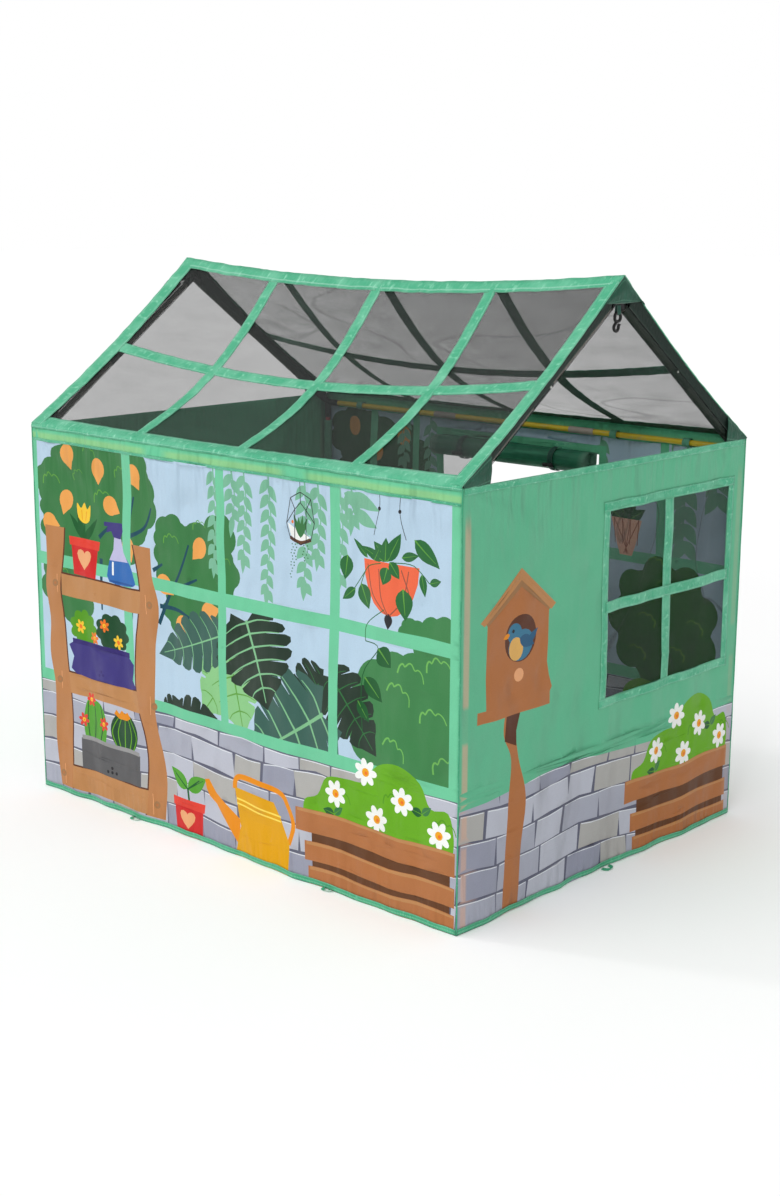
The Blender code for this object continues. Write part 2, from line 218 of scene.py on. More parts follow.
class Artwork:
    """Printed picture on a wall: coloured patches in painter's order, in the wall's own metres."""

    def __init__(self, width: float, height: float, ground: Ink) -> None:
        """Starts with the ground colour all over.

        Args:
            width, height, ground: the wall's size, and the ink under everything.
        """
        self.width = width
        self.height = height
        self.patches: list[tuple[Ink | None, Outline]] = []
        self.rect(ground, 0.0, 0.0, width, height)

    def area(self, ink: Ink | None, points: Sequence[Pair]) -> None:
        """Adds a patch, or a hole where the ink is None, and turns its outline to run anticlockwise."""
        turn = sum(a[0] * b[1] - b[0] * a[1] for a, b in zip(points, [*points[1:], points[0]]))
        self.patches.append((ink, list(points) if turn > 0 else list(points)[::-1]))

    def rect(self, ink: Ink | None, left: float, low: float, right: float, high: float) -> None:
        """Adds an upright rectangle, or a hole where the ink is None."""
        self.area(ink, [(left, low), (right, low), (right, high), (left, high)])

    def disc(self, ink: Ink, u: float, z: float, across: float, tall: float = 0.0, turn: float = 0.0,
            steps: int = 18) -> None:
        """Adds an ellipse.

        Args:
            ink, u, z: its colour and its middle.
            across, tall: its half width and half height, which may be 0 for a circle.
            turn, steps: its tilt in radians, and the points round it.
        """
        tall = tall or across
        ring = [(across * cos(TAU * k / steps), tall * sin(TAU * k / steps)) for k in range(steps)]
        run, rise = cos(turn), sin(turn)
        self.area(ink, [(u + x * run - y * rise, z + x * rise + y * run) for x, y in ring])

    def foliage(self, ink: Ink, u: float, z: float, across: float, tall: float, lobes: int = 9,
            depth: float = 0.16) -> None:
        """Adds a rounded, lobed bush.

        Args:
            ink, u, z: its colour and its middle.
            across, tall: its half width and half height.
            lobes, depth: the bumps round its edge, and how far they stand out as a share of the radius.
        """
        steps = lobes * 7
        outline = []
        for k in range(steps):
            angle = TAU * k / steps
            swell = 1 - depth + depth * abs(sin(lobes * angle / 2 + u * 9)) ** 0.7
            outline.append((u + across * swell * cos(angle), z + tall * swell * sin(angle)))
        self.area(ink, outline)

    def stroke(self, ink: Ink, points: Sequence[Pair], width: float, tip: float = 1.0,
            steps: int = 5) -> None:
        """Adds a brush line along a smooth path.

        Args:
            ink, points: its colour, and the guide points of its path.
            width, tip: its width at the start, and the share of it at the end.
            steps: points per stretch of the path.
        """
        line = curve_through(points, steps=steps)
        left, right = [], []
        for i, (u, z) in enumerate(line):
            before, after = line[max(i - 1, 0)], line[min(i + 1, len(line) - 1)]
            du, dz = after[0] - before[0], after[1] - before[1]
            size = hypot(du, dz) or 1.0
            half = width / 2 * (1 + (tip - 1) * i / (len(line) - 1))
            left.append((u - dz / size * half, z + du / size * half))
            right.append((u + dz / size * half, z - du / size * half))
        self.area(ink, left + right[::-1])

    def leaf(self, ink: Ink, base: Pair, tip: Pair, width: float, vein: Ink | None = None) -> None:
        """Adds a pointed leaf.

        Args:
            ink, vein: its colour, and its midrib's, if that shows.
            base, tip, width: where its stalk meets it, its point and its full width.
        """
        du, dz = tip[0] - base[0], tip[1] - base[1]
        size = hypot(du, dz)
        side = (-dz / size, du / size)
        rim = [(k / 8, width / 2 * sin(pi * (k / 8) ** 0.75)) for k in range(9)]
        near = [(base[0] + du * s + side[0] * w, base[1] + dz * s + side[1] * w) for s, w in rim]
        far = [(base[0] + du * s - side[0] * w, base[1] + dz * s - side[1] * w) for s, w in rim[1:-1]]
        self.area(ink, near + far[::-1])
        if vein:
            self.stroke(vein, [base, (base[0] + du * 0.82, base[1] + dz * 0.82)], width * 0.09, 0.3, 2)

    def split_leaf(self, ink: Ink, vein: Ink, base: Pair, tip: Pair, width: float, fingers: int = 5) -> None:
        """Adds a broad leaf with slits between its fingers and pale veins.

        Args:
            ink, vein: the colours of the leaf and its veins.
            base, tip, width: where its stalk meets it, its point and its full width.
            fingers: lobes on each side.
        """
        du, dz = tip[0] - base[0], tip[1] - base[1]
        size = hypot(du, dz)
        side = (-dz / size, du / size)

        def at(along: float, off: float) -> Pair:
            """A point from its share along the leaf and its distance off the midrib."""
            return (base[0] + du * along + side[0] * off, base[1] + dz * along + side[1] * off)

        def reach(along: float) -> float:
            """Half the leaf's width at a share along it."""
            return width / 2 * sin(pi * min(1.0, (along + 0.16) / 1.16) ** 0.8)

        outline = []
        for sign in (1, -1):
            flank = [at(0.02, 0.0), at(-0.12, sign * width * 0.18)]
            for k in range(fingers):
                start, end = k / fingers * 0.9 - 0.06, (k + 1) / fingers * 0.9 - 0.06
                flank += [at(start + (end - start) * s, sign * reach(start + (end - start) * s) * swell)
                    for s, swell in milli(120, 900, 400, 1000, 750, 980, 950, 860)]
                if k < fingers - 1:
                    flank.append(at(end - 0.05, sign * reach(end) * 0.42))
            flank.append(at(1.0, 0.0))
            outline += flank if sign > 0 else flank[::-1][1:-1]
        self.area(ink, outline)
        self.stroke(vein, [at(0.0, 0.0), at(0.5, width * 0.015), at(0.92, 0.0)], width * 0.03, 0.35)
        for sign in (1, -1):
            for k in range(fingers):
                along = k / fingers * 0.9 + 0.02
                root = along - 0.02 if k else 0.03
                end = at(along + 0.06, sign * reach(along + 0.04) * 0.8)
                self.stroke(vein, [at(root, 0.0), at(along + 0.01, sign * reach(along) * 0.45), end], width
                    * 0.018, 0.4, 3)

    def flower(self, petal: Ink, heart: Ink, u: float, z: float, radius: float, petals: int = 7) -> None:
        """Adds a round-petalled flower.

        Args:
            petal, heart: the colours of the petals and the middle.
            u, z, radius, petals: its middle, its full radius and how many petals it has.
        """
        for k in range(petals):
            angle = TAU * k / petals + u * 7
            self.disc(petal, u + radius * 0.62 * cos(angle), z + radius * 0.62 * sin(angle), radius * 0.42,
                radius * 0.27, angle, 12)
        self.disc(heart, u, z, radius * 0.32, steps=12)
        self.disc(Ink.ORANGE, u + radius * 0.05, z - radius * 0.05, radius * 0.14, steps=8)

    def squiggle(self, ink: Ink, u: float, z: float, size: float, turn: float = 0.0) -> None:
        """Adds a small cloud-like line on a bush.

        Args:
            ink, u, z: its colour and its left end.
            size, turn: its length, and its tilt in radians.
        """
        hops = []
        for k in range(17):
            x = size * (k / 16) ** 1.25
            y = size * (0.2 * abs(sin(k * 3 * pi / 16)) ** 0.55 + 0.24 * sin(pi * k / 16))
            hops.append((u + x * cos(turn) - y * sin(turn), z + x * sin(turn) + y * cos(turn)))
        self.stroke(ink, hops, size * 0.062, 0.6, 2)

    def bricks(self, left: float, right: float, top: float, seed: int, course: float = 0.05) -> None:
        """Adds a low wall of hand-drawn stone bricks.

        Args:
            left, right, top: its edges.
            seed, course: what picks the joints, and the height of a row.
        """
        dice = random.Random(seed)
        self.rect(Ink.MORTAR, left, 0.0, right, top)
        rows = ceil(top / course)
        for row in range(rows):
            low = row * course
            high = min(low + course, top)
            start = left - dice.uniform(0.0, 0.08)
            while start < right:
                end = start + dice.uniform(0.072, 0.128)
                a, b = max(start, left) + 0.0013, min(end, right) - 0.0013
                if b - a > 0.006:
                    lean = dice.uniform(-0.006, 0.006)
                    bow = [dice.uniform(-0.003, 0.003) for _ in range(4)]
                    spots = (a, (a + b) / 2, b)
                    foot = [low + 0.0015 + 0.005 * sin(17 * u + seed) * min(1, low / course) for u in spots]
                    head = [high - 0.0018 + 0.005 * sin(17 * u + seed) * (high < top) for u in spots]
                    under = [(a, foot[0]), (spots[1], foot[1] + bow[0]), (b + lean, foot[2])]
                    over = [(b, head[2]), (spots[1], head[1] + bow[1]), (a - lean, head[0])]
                    self.area(dice.choice(STONES), under + over)
                    rim = [(over[2][0] + 0.002, over[2][1] - 0.0012), (over[1][0], over[1][1] - 0.0012),
                        (over[0][0] - 0.002, over[0][1] - 0.0012)]
                    self.stroke(Ink.CHALK, rim, 0.002, 0.7, 2)
                start = end

    def uneven_top(self, step: float, start: float) -> None:
        """Covers the top edge of the bricks with wall green in a soft wave, from its step and its start."""
        wave = [(self.width * k / 12, 0.219 + 0.008 * sin(k * step + start)) for k in range(13)]
        self.area(Ink.WALL_GREEN, [*wave, (self.width, 0.24), (0.0, 0.24)])

    def wash(self, ink: Ink, left: float, right: float, low: float, high: float, sway: float,
            lean: float = 0.0) -> None:
        """Adds a bar whose sides waver like hand-drawn timber.

        Args:
            ink: its colour.
            left, right, low, high: its edges.
            sway, lean: how far its sides waver, and how far its top stands to the right of its foot.
        """
        tall = high - low >= right - left
        count = 12
        first, second = [], []
        for k in range(count + 1):
            t = k / count
            wave = sway * sin(TAU * t * 1.6 + left * 40)
            wave_two = sway * sin(TAU * t * 1.6 + left * 40 + 0.5)
            if tall:
                z = low + (high - low) * t
                first.append((left + wave + lean * t, z))
                second.append((right + wave_two + lean * t, z))
            else:
                u = left + (right - left) * t
                first.append((u, low + wave))
                second.append((u, high + wave_two))
        self.area(ink, first + second[::-1])

    def heart(self, ink: Ink, u: float, z: float, size: float) -> None:
        """Adds a small plump heart of a given half width."""
        ring = [TAU * k / 20 for k in range(20)]
        self.area(ink, [(u + size * sin(t) ** 3, z + size / 16 * (13 * cos(t) - 5 * cos(2 * t) - 2
            * cos(3 * t))) for t in ring])

    def pot(self, ink: Ink, rim: Ink, u: float, low: float, foot: float, mouth: float, high: float) -> None:
        """Adds a tapered flower pot with a rim.

        Args:
            ink, rim: the colours of the body and the rim.
            u, low, high: its middle, and the heights of its foot and rim.
            foot, mouth: half its width at the foot and at the rim.
        """
        band = (high - low) * 0.24
        self.area(ink, [(u - foot, low), (u + foot, low), (u + mouth * 0.88, high - band / 2),
            (u - mouth * 0.88, high - band / 2)])
        self.area(rim, [(u - mouth * 0.96, high - band), (u + mouth * 0.94, high - band), (u + mouth, high),
            (u - mouth, high - 0.001)])

    def crate(self, left: float, right: float, top: float) -> None:
        """Adds a slatted planter with a bright bush and daisies.

        Args:
            left, right, top: its sides, and the top of its upper slat.
        """
        width = right - left
        hump = [(0.05, top - 0.012), (0.06, top + 0.016), (0.14, top + 0.03), (0.2, top + 0.066),
            (0.34, top + 0.074), (0.44, top + 0.078), (0.52, top + 0.112), (0.66, top + 0.124),
            (0.79, top + 0.104), (0.85, top + 0.066), (0.95, top + 0.066), (0.985, top + 0.024),
            (0.975, top - 0.012)]
        self.area(Ink.BUSH, curve_through([(left + width * s, z) for s, z in hump], steps=4)
            + [(left + width * 0.9, top - 0.02), (left + width * 0.1, top - 0.02)])
        for share, rise in milli(220, 30, 560, 50, 860, 30):
            self.squiggle(Ink.BUSH_SHADE, left + width * share, top + rise, 0.05)
        for share, rise in milli(250, 4, 800, 52):
            spot = (left + width * share, top + rise)
            self.leaf(Ink.TREE_DARK, spot, (spot[0] - 0.026, spot[1] + 0.004), 0.016, Ink.BUSH)
            self.leaf(Ink.TREE, spot, (spot[0] + 0.02, spot[1] + 0.016), 0.014, Ink.BUSH)
        for share, rise in milli(260, 42, 450, 95, 520, 18, 680, 64, 900, 24):
            self.flower(Ink.WHITE, Ink.DAISY_HEART, left + width * share, top + rise, 0.024)
        self.rect(Ink.SLAT_SHADE, left + width * 0.1, 0.0, right - width * 0.035, top - 0.02)
        for low, high, inset in ((top - 0.042, top, 0.0), (0.045, 0.08, 0.055), (0.0, 0.034, 0.075)):
            edge = left + width * inset
            self.wash(Ink.WOOD_DARK, edge, right - width * 0.008, low, high, 0.0022)
            self.wash(Ink.WOOD, edge + 0.004, right - width * 0.014, high - 0.006, high - 0.001, 0.0022)


# Painted light where the poles show through the cloth: how strongly, and their glowing colours seen through
# it.
RED_GLOW = linear((214, 172, 148))
YELLOW_GLOW = linear((196, 214, 104))
POST_OFFSET = 0.015
POST_JOINT = (0.322, 0.382)
RAIL_GLOW_HEIGHT = 0.7185
STRIPE_HALF = 0.0085


@dataclass
class Wall:
    """One upright wall of the cover: a printed sheet that hangs between two posts."""

    name: str
    node: str
    origin: Vector
    along: Vector
    width: float
    seed: float
    fold_lines: tuple[float, ...]
    height: float = WALL_TOP
    pitch: float = 0.011
    rail_gaps: tuple[float, ...] = ()
    # how strongly the painted glow of the posts shows at the wall's two ends
    post_glow: Pair = (0.0, 0.0)

    @property
    def outward(self) -> Vector:
        """The direction that the wall's printed side faces."""
        return self.along.cross(UP)

    @property
    def opening(self) -> float:
        """The area of the wall's opening in square metres."""
        return 0.0

    def lift(self, u: float, z: float) -> float:
        """How far the cloth stands out of its flat place.

        Args:
            u, z: the place across the wall and up it.

        Returns:
            The distance outwards.
        """
        edge = min(u, self.width - u)
        hold = smoothstep(0.012, 0.075, edge)
        free = 1 - smoothstep(0.6, 0.7, z)
        spot = Vector((u * 3.1 + self.seed, z * 3.7, self.seed))
        broad = 0.008 * noise.noise(spot) * free
        fine = 0.0018 * noise.noise(spot * 3.9)
        drape = 0.0058 * drift(u * 15, z * 2.0, self.seed + 3)
        pucker = 0.0028 * drift(u * 36, z * 5, self.seed) * exp(-(self.height - z) / 0.07)
        hold *= smoothstep(-0.006, 0.03, self.height - z)
        hem = 0.0032 * drift(u * 7.5, self.seed + 5, 0.0) * exp(-z / 0.07)
        drag = 0.0
        for corner in (0.0, self.width):
            du, dz = u - corner, self.height - z
            reach = hypot(du, dz)
            angle = atan2(dz, abs(du) + 1e-6)
            drag += 0.0027 * exp(-reach / 0.17) * sin(angle * 13 + self.seed) * smoothstep(0.01, 0.06, reach)
        crease = sum(0.0012 * exp(-abs(u - line) / 0.007) for line in self.fold_lines)
        crease += 0.001 * exp(-abs(z - self.height * 0.5) / 0.006)
        return (broad + fine + drape + drag + crease + pucker) * hold + hem * smoothstep(0.0, 0.03,
            edge) + 0.0004

    def point(self, u: float, z: float, proud: float = 0.0) -> Vector:
        """A point on the wall.

        Args:
            u, z, proud: the place across the wall and up it, and how far in front of the cloth.

        Returns:
            The point in the frame.
        """
        edge = smoothstep(0.0, 0.05, min(u, self.width - u))
        rise = 0.0022 * drift(u * 9, self.seed + 9, 0.0) * exp(-z / 0.05) * edge
        flat = self.origin + self.along * u + UP * (z + max(rise, -z))
        return flat + self.outward * (self.lift(u, z) + proud)

    def tint(self, colour: Sequence[float], u: float, z: float) -> tuple[float, ...]:
        """The ink's colour, with the painted glow of a pole showing through the cloth.

        Args:
            colour, u, z: the ink's linear colour, and the place across the wall and up it.

        Returns:
            The linear colour of the cloth there.
        """
        # paints the light of the red posts and yellow rails glowing through the cloth into the colour
        off = abs(min(u, self.width - u) - POST_OFFSET)
        glow = self.post_glow[0 if u < self.width / 2 else 1]
        post = glow * (1 - smoothstep(STRIPE_HALF * 0.55, STRIPE_HALF, off)) * (1 - smoothstep(0.66, 0.7, z))
        post *= 1 - 0.92 * (smoothstep(POST_JOINT[0] - 0.004, POST_JOINT[0], z)
            - smoothstep(POST_JOINT[1], POST_JOINT[1] + 0.004, z))
        rail = 0.3 * (1 - smoothstep(0.003, 0.009, abs(z - RAIL_GLOW_HEIGHT))) if self.rail_gaps else 0.0
        for gap in self.rail_gaps:
            rail *= smoothstep(0.016, 0.044, abs(u - gap))
        mixed = [c + (g - c) * post for c, g in zip(colour, RED_GLOW)]
        return tuple(c + (g - c) * rail for c, g in zip(mixed, YELLOW_GLOW))

    def picture(self) -> Artwork:
        """The wall's print; each wall draws its own."""
        raise NotImplementedError

    def grid(self) -> list[Vector]:
        """Points that let the cloth bend, closer together beside the posts.

        Returns:
            Points in the wall's own two directions.
        """
        columns = [self.width * k / round(self.width / self.pitch) for k in range(round(self.width
            / self.pitch) + 1)]
        columns += [c for off in (-0.009, -0.005, 0.005, 0.009) for c in (POST_OFFSET + off, self.width
            - POST_OFFSET - off)]
        rows = [self.height * k / round(self.height / self.pitch) for k in range(round(self.height
            / self.pitch) + 1)]
        rows += [RAIL_GLOW_HEIGHT + off for off in (-0.009, -0.003, 0.003, 0.009)]
        rows += [edge + off for edge in POST_JOINT for off in (-0.004, 0.004)]
        return [Vector((u, z)) for u in columns for z in rows]

    def build(self) -> Piece:
        """Cuts the wall out of its print, drapes it and gives it thickness.

        Returns:
            The wall's sheet.
        """
        art = self.picture()
        points, rings, inks = [], [], []
        for ink, outline in art.patches:
            rings.append(list(range(len(points), len(points) + len(outline))))
            points += [Vector(p) for p in outline]
            inks.append(ink)
        cut = delaunay_2d_cdt(points + self.grid(), [], rings, 0, 1e-6, True)
        flat, faces, kept = cut[0], [], []
        for face, owners in zip(cut[2], cut[5]):
            if 0 in owners and inks[max(owners)] is not None:
                faces.append(face)
                kept.append(inks[max(owners)])
        used = sorted({i for face in faces for i in face})
        slot = {old: new for new, old in enumerate(used)}
        mesh = bpy.data.meshes.new(self.name)
        mesh.from_pydata([self.point(*flat[i]) for i in used], [], [[slot[i] for i in f] for f in faces])
        colours = mesh.color_attributes.new("ink", "FLOAT_COLOR", "CORNER")
        shades = []
        for face, ink in zip(faces, kept):
            for i in face:
                shades += [*self.tint(ink.light[:3], *flat[i]), 1.0]
        colours.data.foreach_set("color", shades)
        mesh.shade_smooth()
        return finish_cloth(mesh, self.name, CLOTH)


def link(name: str, data: bpy.types.ID) -> Piece:
    """Puts a mesh or curve into the scene as the one selected object.

    Args:
        name: the object's name.
        data: its mesh or curve.

    Returns:
        The object.
    """
    piece = bpy.data.objects.new(name, data)
    bpy.context.scene.collection.objects.link(piece)
    bpy.ops.object.select_all(action="DESELECT")
    piece.select_set(True)
    bpy.context.view_layer.objects.active = piece
    return piece


def apply_modifier(piece: Piece, kind: str, **settings: object) -> None:
    """Adds a modifier to the active piece and applies it.

    Args:
        piece: the piece.
        kind: the modifier's type.
        settings: its settings by name.
    """
    modifier = piece.modifiers.new(kind.lower(), kind)
    for name, value in settings.items():
        setattr(modifier, name, value)
    bpy.ops.object.modifier_apply(modifier=modifier.name)


def finish_cloth(mesh: bpy.types.Mesh, name: str, thickness: float, inner: int = 0) -> Piece:
    """Links a cloth mesh and thickens it inwards.

    Args:
        mesh, name: the single skin with its faces outwards, and the piece's name.
        thickness, inner: the cloth's thickness, and how many slots further its inner finish is.

    Returns:
        The piece.
    """
    piece = link(name, mesh)
    if inner:
        mesh.materials.append(None)
        mesh.materials.append(None)
    apply_modifier(piece, "SOLIDIFY", thickness=thickness, offset=-1.0, material_offset=inner)
    return piece


@dataclass
class FrontWall(Wall):
    """The long wall printed with shelves, pots and the view through greenhouse panes."""

    def picture(self) -> Artwork:
        """Draws the garden from back to front.

        Returns:
            The print.
        """
        art = Artwork(self.width, self.height, Ink.SKY)
        self.trees(art)
        self.vines(art)
        self.big_leaves(art)
        self.window_bars(art)
        art.bricks(0.0, self.width, 0.228, seed=7)
        self.shelf(art)
        self.shelf_pots(art)
        self.hanging_things(art)
        self.floor_things(art)
        art.crate(0.736, 1.098, 0.139)
        art.rect(Ink.BAND_GREEN, 0.0, 0.709, self.width, self.height)
        return art

    def trees(self, art: Artwork) -> None:
        """Draws the fruit trees and the hedge, on the given print."""
        for u, z, across, tall, lobes in ((0.185, 0.665, 0.135, 0.075, 9), (0.06, 0.63, 0.058, 0.05, 5),
                (0.175, 0.56, 0.165, 0.095, 11), (0.305, 0.62, 0.068, 0.075, 7), (0.1, 0.43, 0.09, 0.075, 8),
                (0.41, 0.57, 0.048, 0.042, 6), (0.305, 0.675, 0.05, 0.045, 5),
                (0.475, 0.52, 0.115, 0.085, 9), (0.54, 0.585, 0.045, 0.045, 5),
                (0.47, 0.435, 0.09, 0.055, 8), (0.52, 0.52, 0.075, 0.06, 7)):
            art.foliage(Ink.TREE, u, z, across, tall, lobes)
        for line in (milli(370, 400, 400, 455, 430, 500, 457, 560), milli(415, 470, 480, 500),
                milli(375, 435, 430, 435, 480, 420), milli(280, 550, 335, 575, 355, 615),
                milli(290, 580, 305, 630), milli(205, 500, 205, 400), milli(290, 380, 300, 430),
                milli(360, 500, 385, 515), milli(200, 540, 235, 570)):
            art.stroke(Ink.BRANCH, line, 0.009, 0.45)
        for u, z, size, turn in milli(30, 625, 50, 100, 185, 605, 50, 200, 155, 700, 40, -300, 250, 660, 40,
                300, 390, 555, 40, 100, 470, 590, 35, 200, 500, 470, 35, -200, 120, 640, 35, 500, 540, 540,
                30, 0, 60, 450, 40, 0, 430, 390, 35, 0, size=4):
            art.squiggle(Ink.TREE_LIGHT, u, z, size, turn)
        for u, z, turn in milli(106, 689, 300, 200, 671, 0, 307, 671, 500, 96, 599, -300, 232, 604, 1200, 46,
                551, 1400, 286, 534, 400, 488, 559, -700, 389, 478, 1000, 514, 446, 1900, 439, 409, -900,
                size=3):
            tip = (u + 0.031 * sin(turn), z - 0.031 * cos(turn))
            art.disc(Ink.FRUIT, u, z, 0.0185, 0.0205, turn)
            art.leaf(Ink.FRUIT, (u - 0.015 * sin(turn), z + 0.015 * cos(turn)), tip, 0.03)
        art.foliage(Ink.HEDGE, 0.975, 0.33, 0.122, 0.125, 10, 0.1)
        art.foliage(Ink.HEDGE, 1.02, 0.4, 0.09, 0.06, 9, 0.14)
        art.rect(Ink.HEDGE, 0.93, 0.24, 1.085, 0.4)
        art.foliage(Ink.HEDGE, 1.06, 0.47, 0.06, 0.06, 7)
        art.foliage(Ink.HEDGE, 1.0, 0.49, 0.03, 0.026, 5)
        for u, z in milli(1030, 430, 945, 385, 1020, 345, 935, 290, 1050, 265, 970, 420):
            art.squiggle(Ink.HEDGE_LIGHT, u, z, 0.055, 6.0 * (u - 1.0))

    def vines(self, art: Artwork) -> None:
        """Draws the pale plants that trail from the top, on the given print."""
        for u, length in milli(530, 170, 605, 150, 665, 200, 785, 120, 835, 150, 862, 50, 755, 175, 575, 90):
            self.vine(art, u, length)
        for u, z, lean in milli(845, 700, 50, 865, 672, 60, 860, 700, 70, size=3):
            art.leaf(Ink.VINE, (u, z), (u + lean, z - 0.02), 0.024)

    def vine(self, art: Artwork, u: float, length: float) -> None:
        """Draws one trailing stem with paired leaves.

        Args:
            art, u, length: the print, where the stem hangs and how far.
        """
        top = 0.709
        art.stroke(Ink.VINE, [(u, top), (u + 0.006, top - length / 2), (u - 0.002, top - length)], 0.0035,
            0.6)
        pairs = round(length / 0.026)
        for k in range(pairs):
            z = top - 0.012 - k * 0.026
            reach = 0.031 * (1 - 0.3 * k / pairs)
            for sign in (-1, 1):
                drop = z - 0.005 * sign
                art.leaf(Ink.VINE, (u, drop), (u + sign * reach * 0.7, drop - reach * 0.9), 0.0165)
        art.leaf(Ink.VINE, (u, top - length + 0.01), (u - 0.003, top - length - 0.03), 0.014)

    def big_leaves(self, art: Artwork) -> None:
        """Draws the broad split leaves behind the lower panes, on the given print."""
        art.split_leaf(Ink.LEAF_PALE, Ink.TREE_LIGHT, (0.6, 0.39), (0.485, 0.25), 0.15)
        art.split_leaf(Ink.LEAF_PALE, Ink.TREE_LIGHT, (0.56, 0.4), (0.6, 0.23), 0.16)
        art.split_leaf(Ink.LEAF_BLACK, Ink.LEAF_BLACK, (0.378, 0.236), (0.425, 0.262), 0.05, 3)
        art.split_leaf(Ink.LEAF_BLACK, Ink.LEAF_BLACK, (0.42, 0.236), (0.53, 0.25), 0.08, 4)
        art.split_leaf(Ink.LEAF_BLACK, Ink.LEAF_GREEN, (0.8, 0.372), (0.722, 0.33), 0.105, 4)
        art.split_leaf(Ink.LEAF_BLACK, Ink.LEAF_GREEN, (0.815, 0.385), (0.922, 0.266), 0.125, 5)
        art.split_leaf(Ink.LEAF_BLUE, Ink.LEAF_VEIN, (0.8, 0.315), (0.62, 0.205), 0.235, 5)
        art.split_leaf(Ink.LEAF_BLUE, Ink.LEAF_VEIN, (0.545, 0.408), (0.366, 0.342), 0.115, 6)
        art.split_leaf(Ink.LEAF_BLACK, Ink.LEAF_VEIN, (0.612, 0.448), (0.668, 0.296), 0.205, 6)

    def window_bars(self, art: Artwork) -> None:
        """Draws the pale green frame of the panes, on the given print."""
        for left, right, lean in milli(266, 293, 6, 540, 560, -4, 811, 832, 4, size=3):
            art.wash(Ink.FRAME_GREEN, left, right, 0.24, 0.712, 0.0016, lean)
        art.wash(Ink.FRAME_GREEN, 0.0, self.width, 0.464, 0.488, 0.0014)
        art.wash(Ink.FRAME_GREEN, 0.0, self.width, 0.226, 0.25, 0.0014)
        art.rect(Ink.FRAME_GREEN, 0.0, 0.225, 0.013, self.height)
        art.rect(Ink.FRAME_GREEN, 1.08, 0.225, self.width, self.height)

    def shelf(self, art: Artwork) -> None:
        """Draws the ladder shelf, on the given print."""
        left_rail = milli(32, 544, 34, 470, 28, 420, 40, 360, 34, 290, 46, 220, 42, 120, 52, 14)
        left_edge = milli(90, 14, 96, 120, 94, 205, 86, 280, 82, 360, 74, 420, 82, 480, 88, 544)
        right_rail = milli(318, 14, 330, 110, 322, 170, 302, 230, 298, 310, 314, 400, 322, 460, 302, 540)
        right_edge = milli(352, 540, 356, 490, 371, 430, 356, 340, 348, 250, 352, 200, 375, 110, 368, 14)
        for rail, edge, shift in ((left_rail, left_edge, 0.0035), (right_rail, right_edge, -0.0035)):
            outline = curve_through(rail) + curve_through(edge)
            art.area(Ink.WOOD_SHADE, [(u + shift, z) for u, z in outline])
        for low, high in milli(410, 453, 214, 256, 16, 64):
            art.wash(Ink.WOOD_SHADE, 0.078, 0.326, low + 0.003, high + 0.0035, 0.0014)
            art.wash(Ink.WOOD, 0.078, 0.326, low, high, 0.0014)
        for rail, edge in ((left_rail, left_edge), (right_rail, right_edge)):
            art.area(Ink.WOOD_RAIL, curve_through(rail) + curve_through(edge))
        for low, high in milli(410, 453, 214, 256, 16, 64):
            for u in (0.066, 0.336):
                art.wash(Ink.CREAM, u - 0.0006, u + 0.0006, low + 0.003, high - 0.003, 0.0003)
                art.disc(Ink.KNOT, u - 0.006 if u < 0.2 else u + 0.01, (low + high) / 2, 0.0085, 0.0075, 0.4,
                    12)
                art.disc(Ink.WOOD_DARK, u - 0.006 if u < 0.2 else u + 0.01, (low + high) / 2, 0.004, 0.003,
                    0.4, 8)

    def shelf_pots(self, art: Artwork) -> None:
        """Draws what stands on the shelves, on the given print."""
        for tip in milli(105, 575, 125, 590, 195, 575, 175, 560):
            art.leaf(Ink.TREE_DARK, (0.152, 0.525), tip, 0.016)
        art.stroke(Ink.TREE_DARK, milli(153, 525, 150, 570), 0.005)
        art.area(Ink.YELLOW, curve_through(milli(150, 560, 168, 568, 171, 597, 160, 588, 150, 600, 139, 588,
            126, 597, 131, 570), closed=True, steps=3))
        for line in (milli(144, 566, 141, 585), milli(155, 566, 158, 584)):
            art.stroke(Ink.CAN_DARK, line, 0.0018)
        art.pot(Ink.RED, Ink.RED_DEEP, 0.152, 0.457, 0.036, 0.05, 0.531)
        art.heart(Ink.CREAM, 0.15, 0.492, 0.023)
        art.area(Ink.BLUE, curve_through(milli(226, 458, 302, 460, 303, 478, 290, 502, 262, 520, 240, 512,
            228, 498), closed=True, steps=3))
        art.area(Ink.LILAC, milli(228, 500, 286, 503, 272, 520, 264, 545, 242, 545, 240, 522))
        art.stroke(Ink.WHITE, milli(237, 472, 238, 498), 0.005)
        art.area(Ink.BLUE_DARK, milli(228, 458, 300, 459, 300, 463, 228, 462))
        art.area(Ink.PURPLE, milli(214, 572, 268, 575, 270, 560, 262, 544, 240, 545, 234, 556, 220, 552, 224,
            564, 214, 564))
        for u, z, ink in ((0.142, 0.352, Ink.BUSH_SHADE), (0.231, 0.358, Ink.CACTUS_DARK)):
            art.foliage(ink, u, z, 0.044 if u < 0.2 else 0.05, 0.038, 9, 0.2)
        for u, z in milli(130, 354, 245, 341):
            art.flower(Ink.YELLOW, Ink.ORANGE, u, z, 0.014, 6)
        for u, z in milli(209, 369, 175, 338):
            art.flower(Ink.ORANGE, Ink.YELLOW, u, z, 0.013, 6)
        art.area(Ink.PURPLE, curve_through(milli(112, 256, 284, 256, 287, 275, 276, 318, 106, 320, 106, 290),
            closed=True, steps=3))
        art.rect(Ink.PURPLE_DARK, 0.104, 0.317, 0.279, 0.327)
        for du, dz in milli(0, 0, 12, 2, 6, 8):
            art.disc(Ink.PURPLE_DARK, 0.186 + du, 0.266 + dz, 0.0032, steps=8)
        art.area(Ink.CACTUS, curve_through(milli(134, 128, 128, 165, 140, 205, 162, 212, 190, 205, 204, 170,
            200, 128), steps=4))
        for u, bend in milli(146, -6, 164, 2, 184, 8):
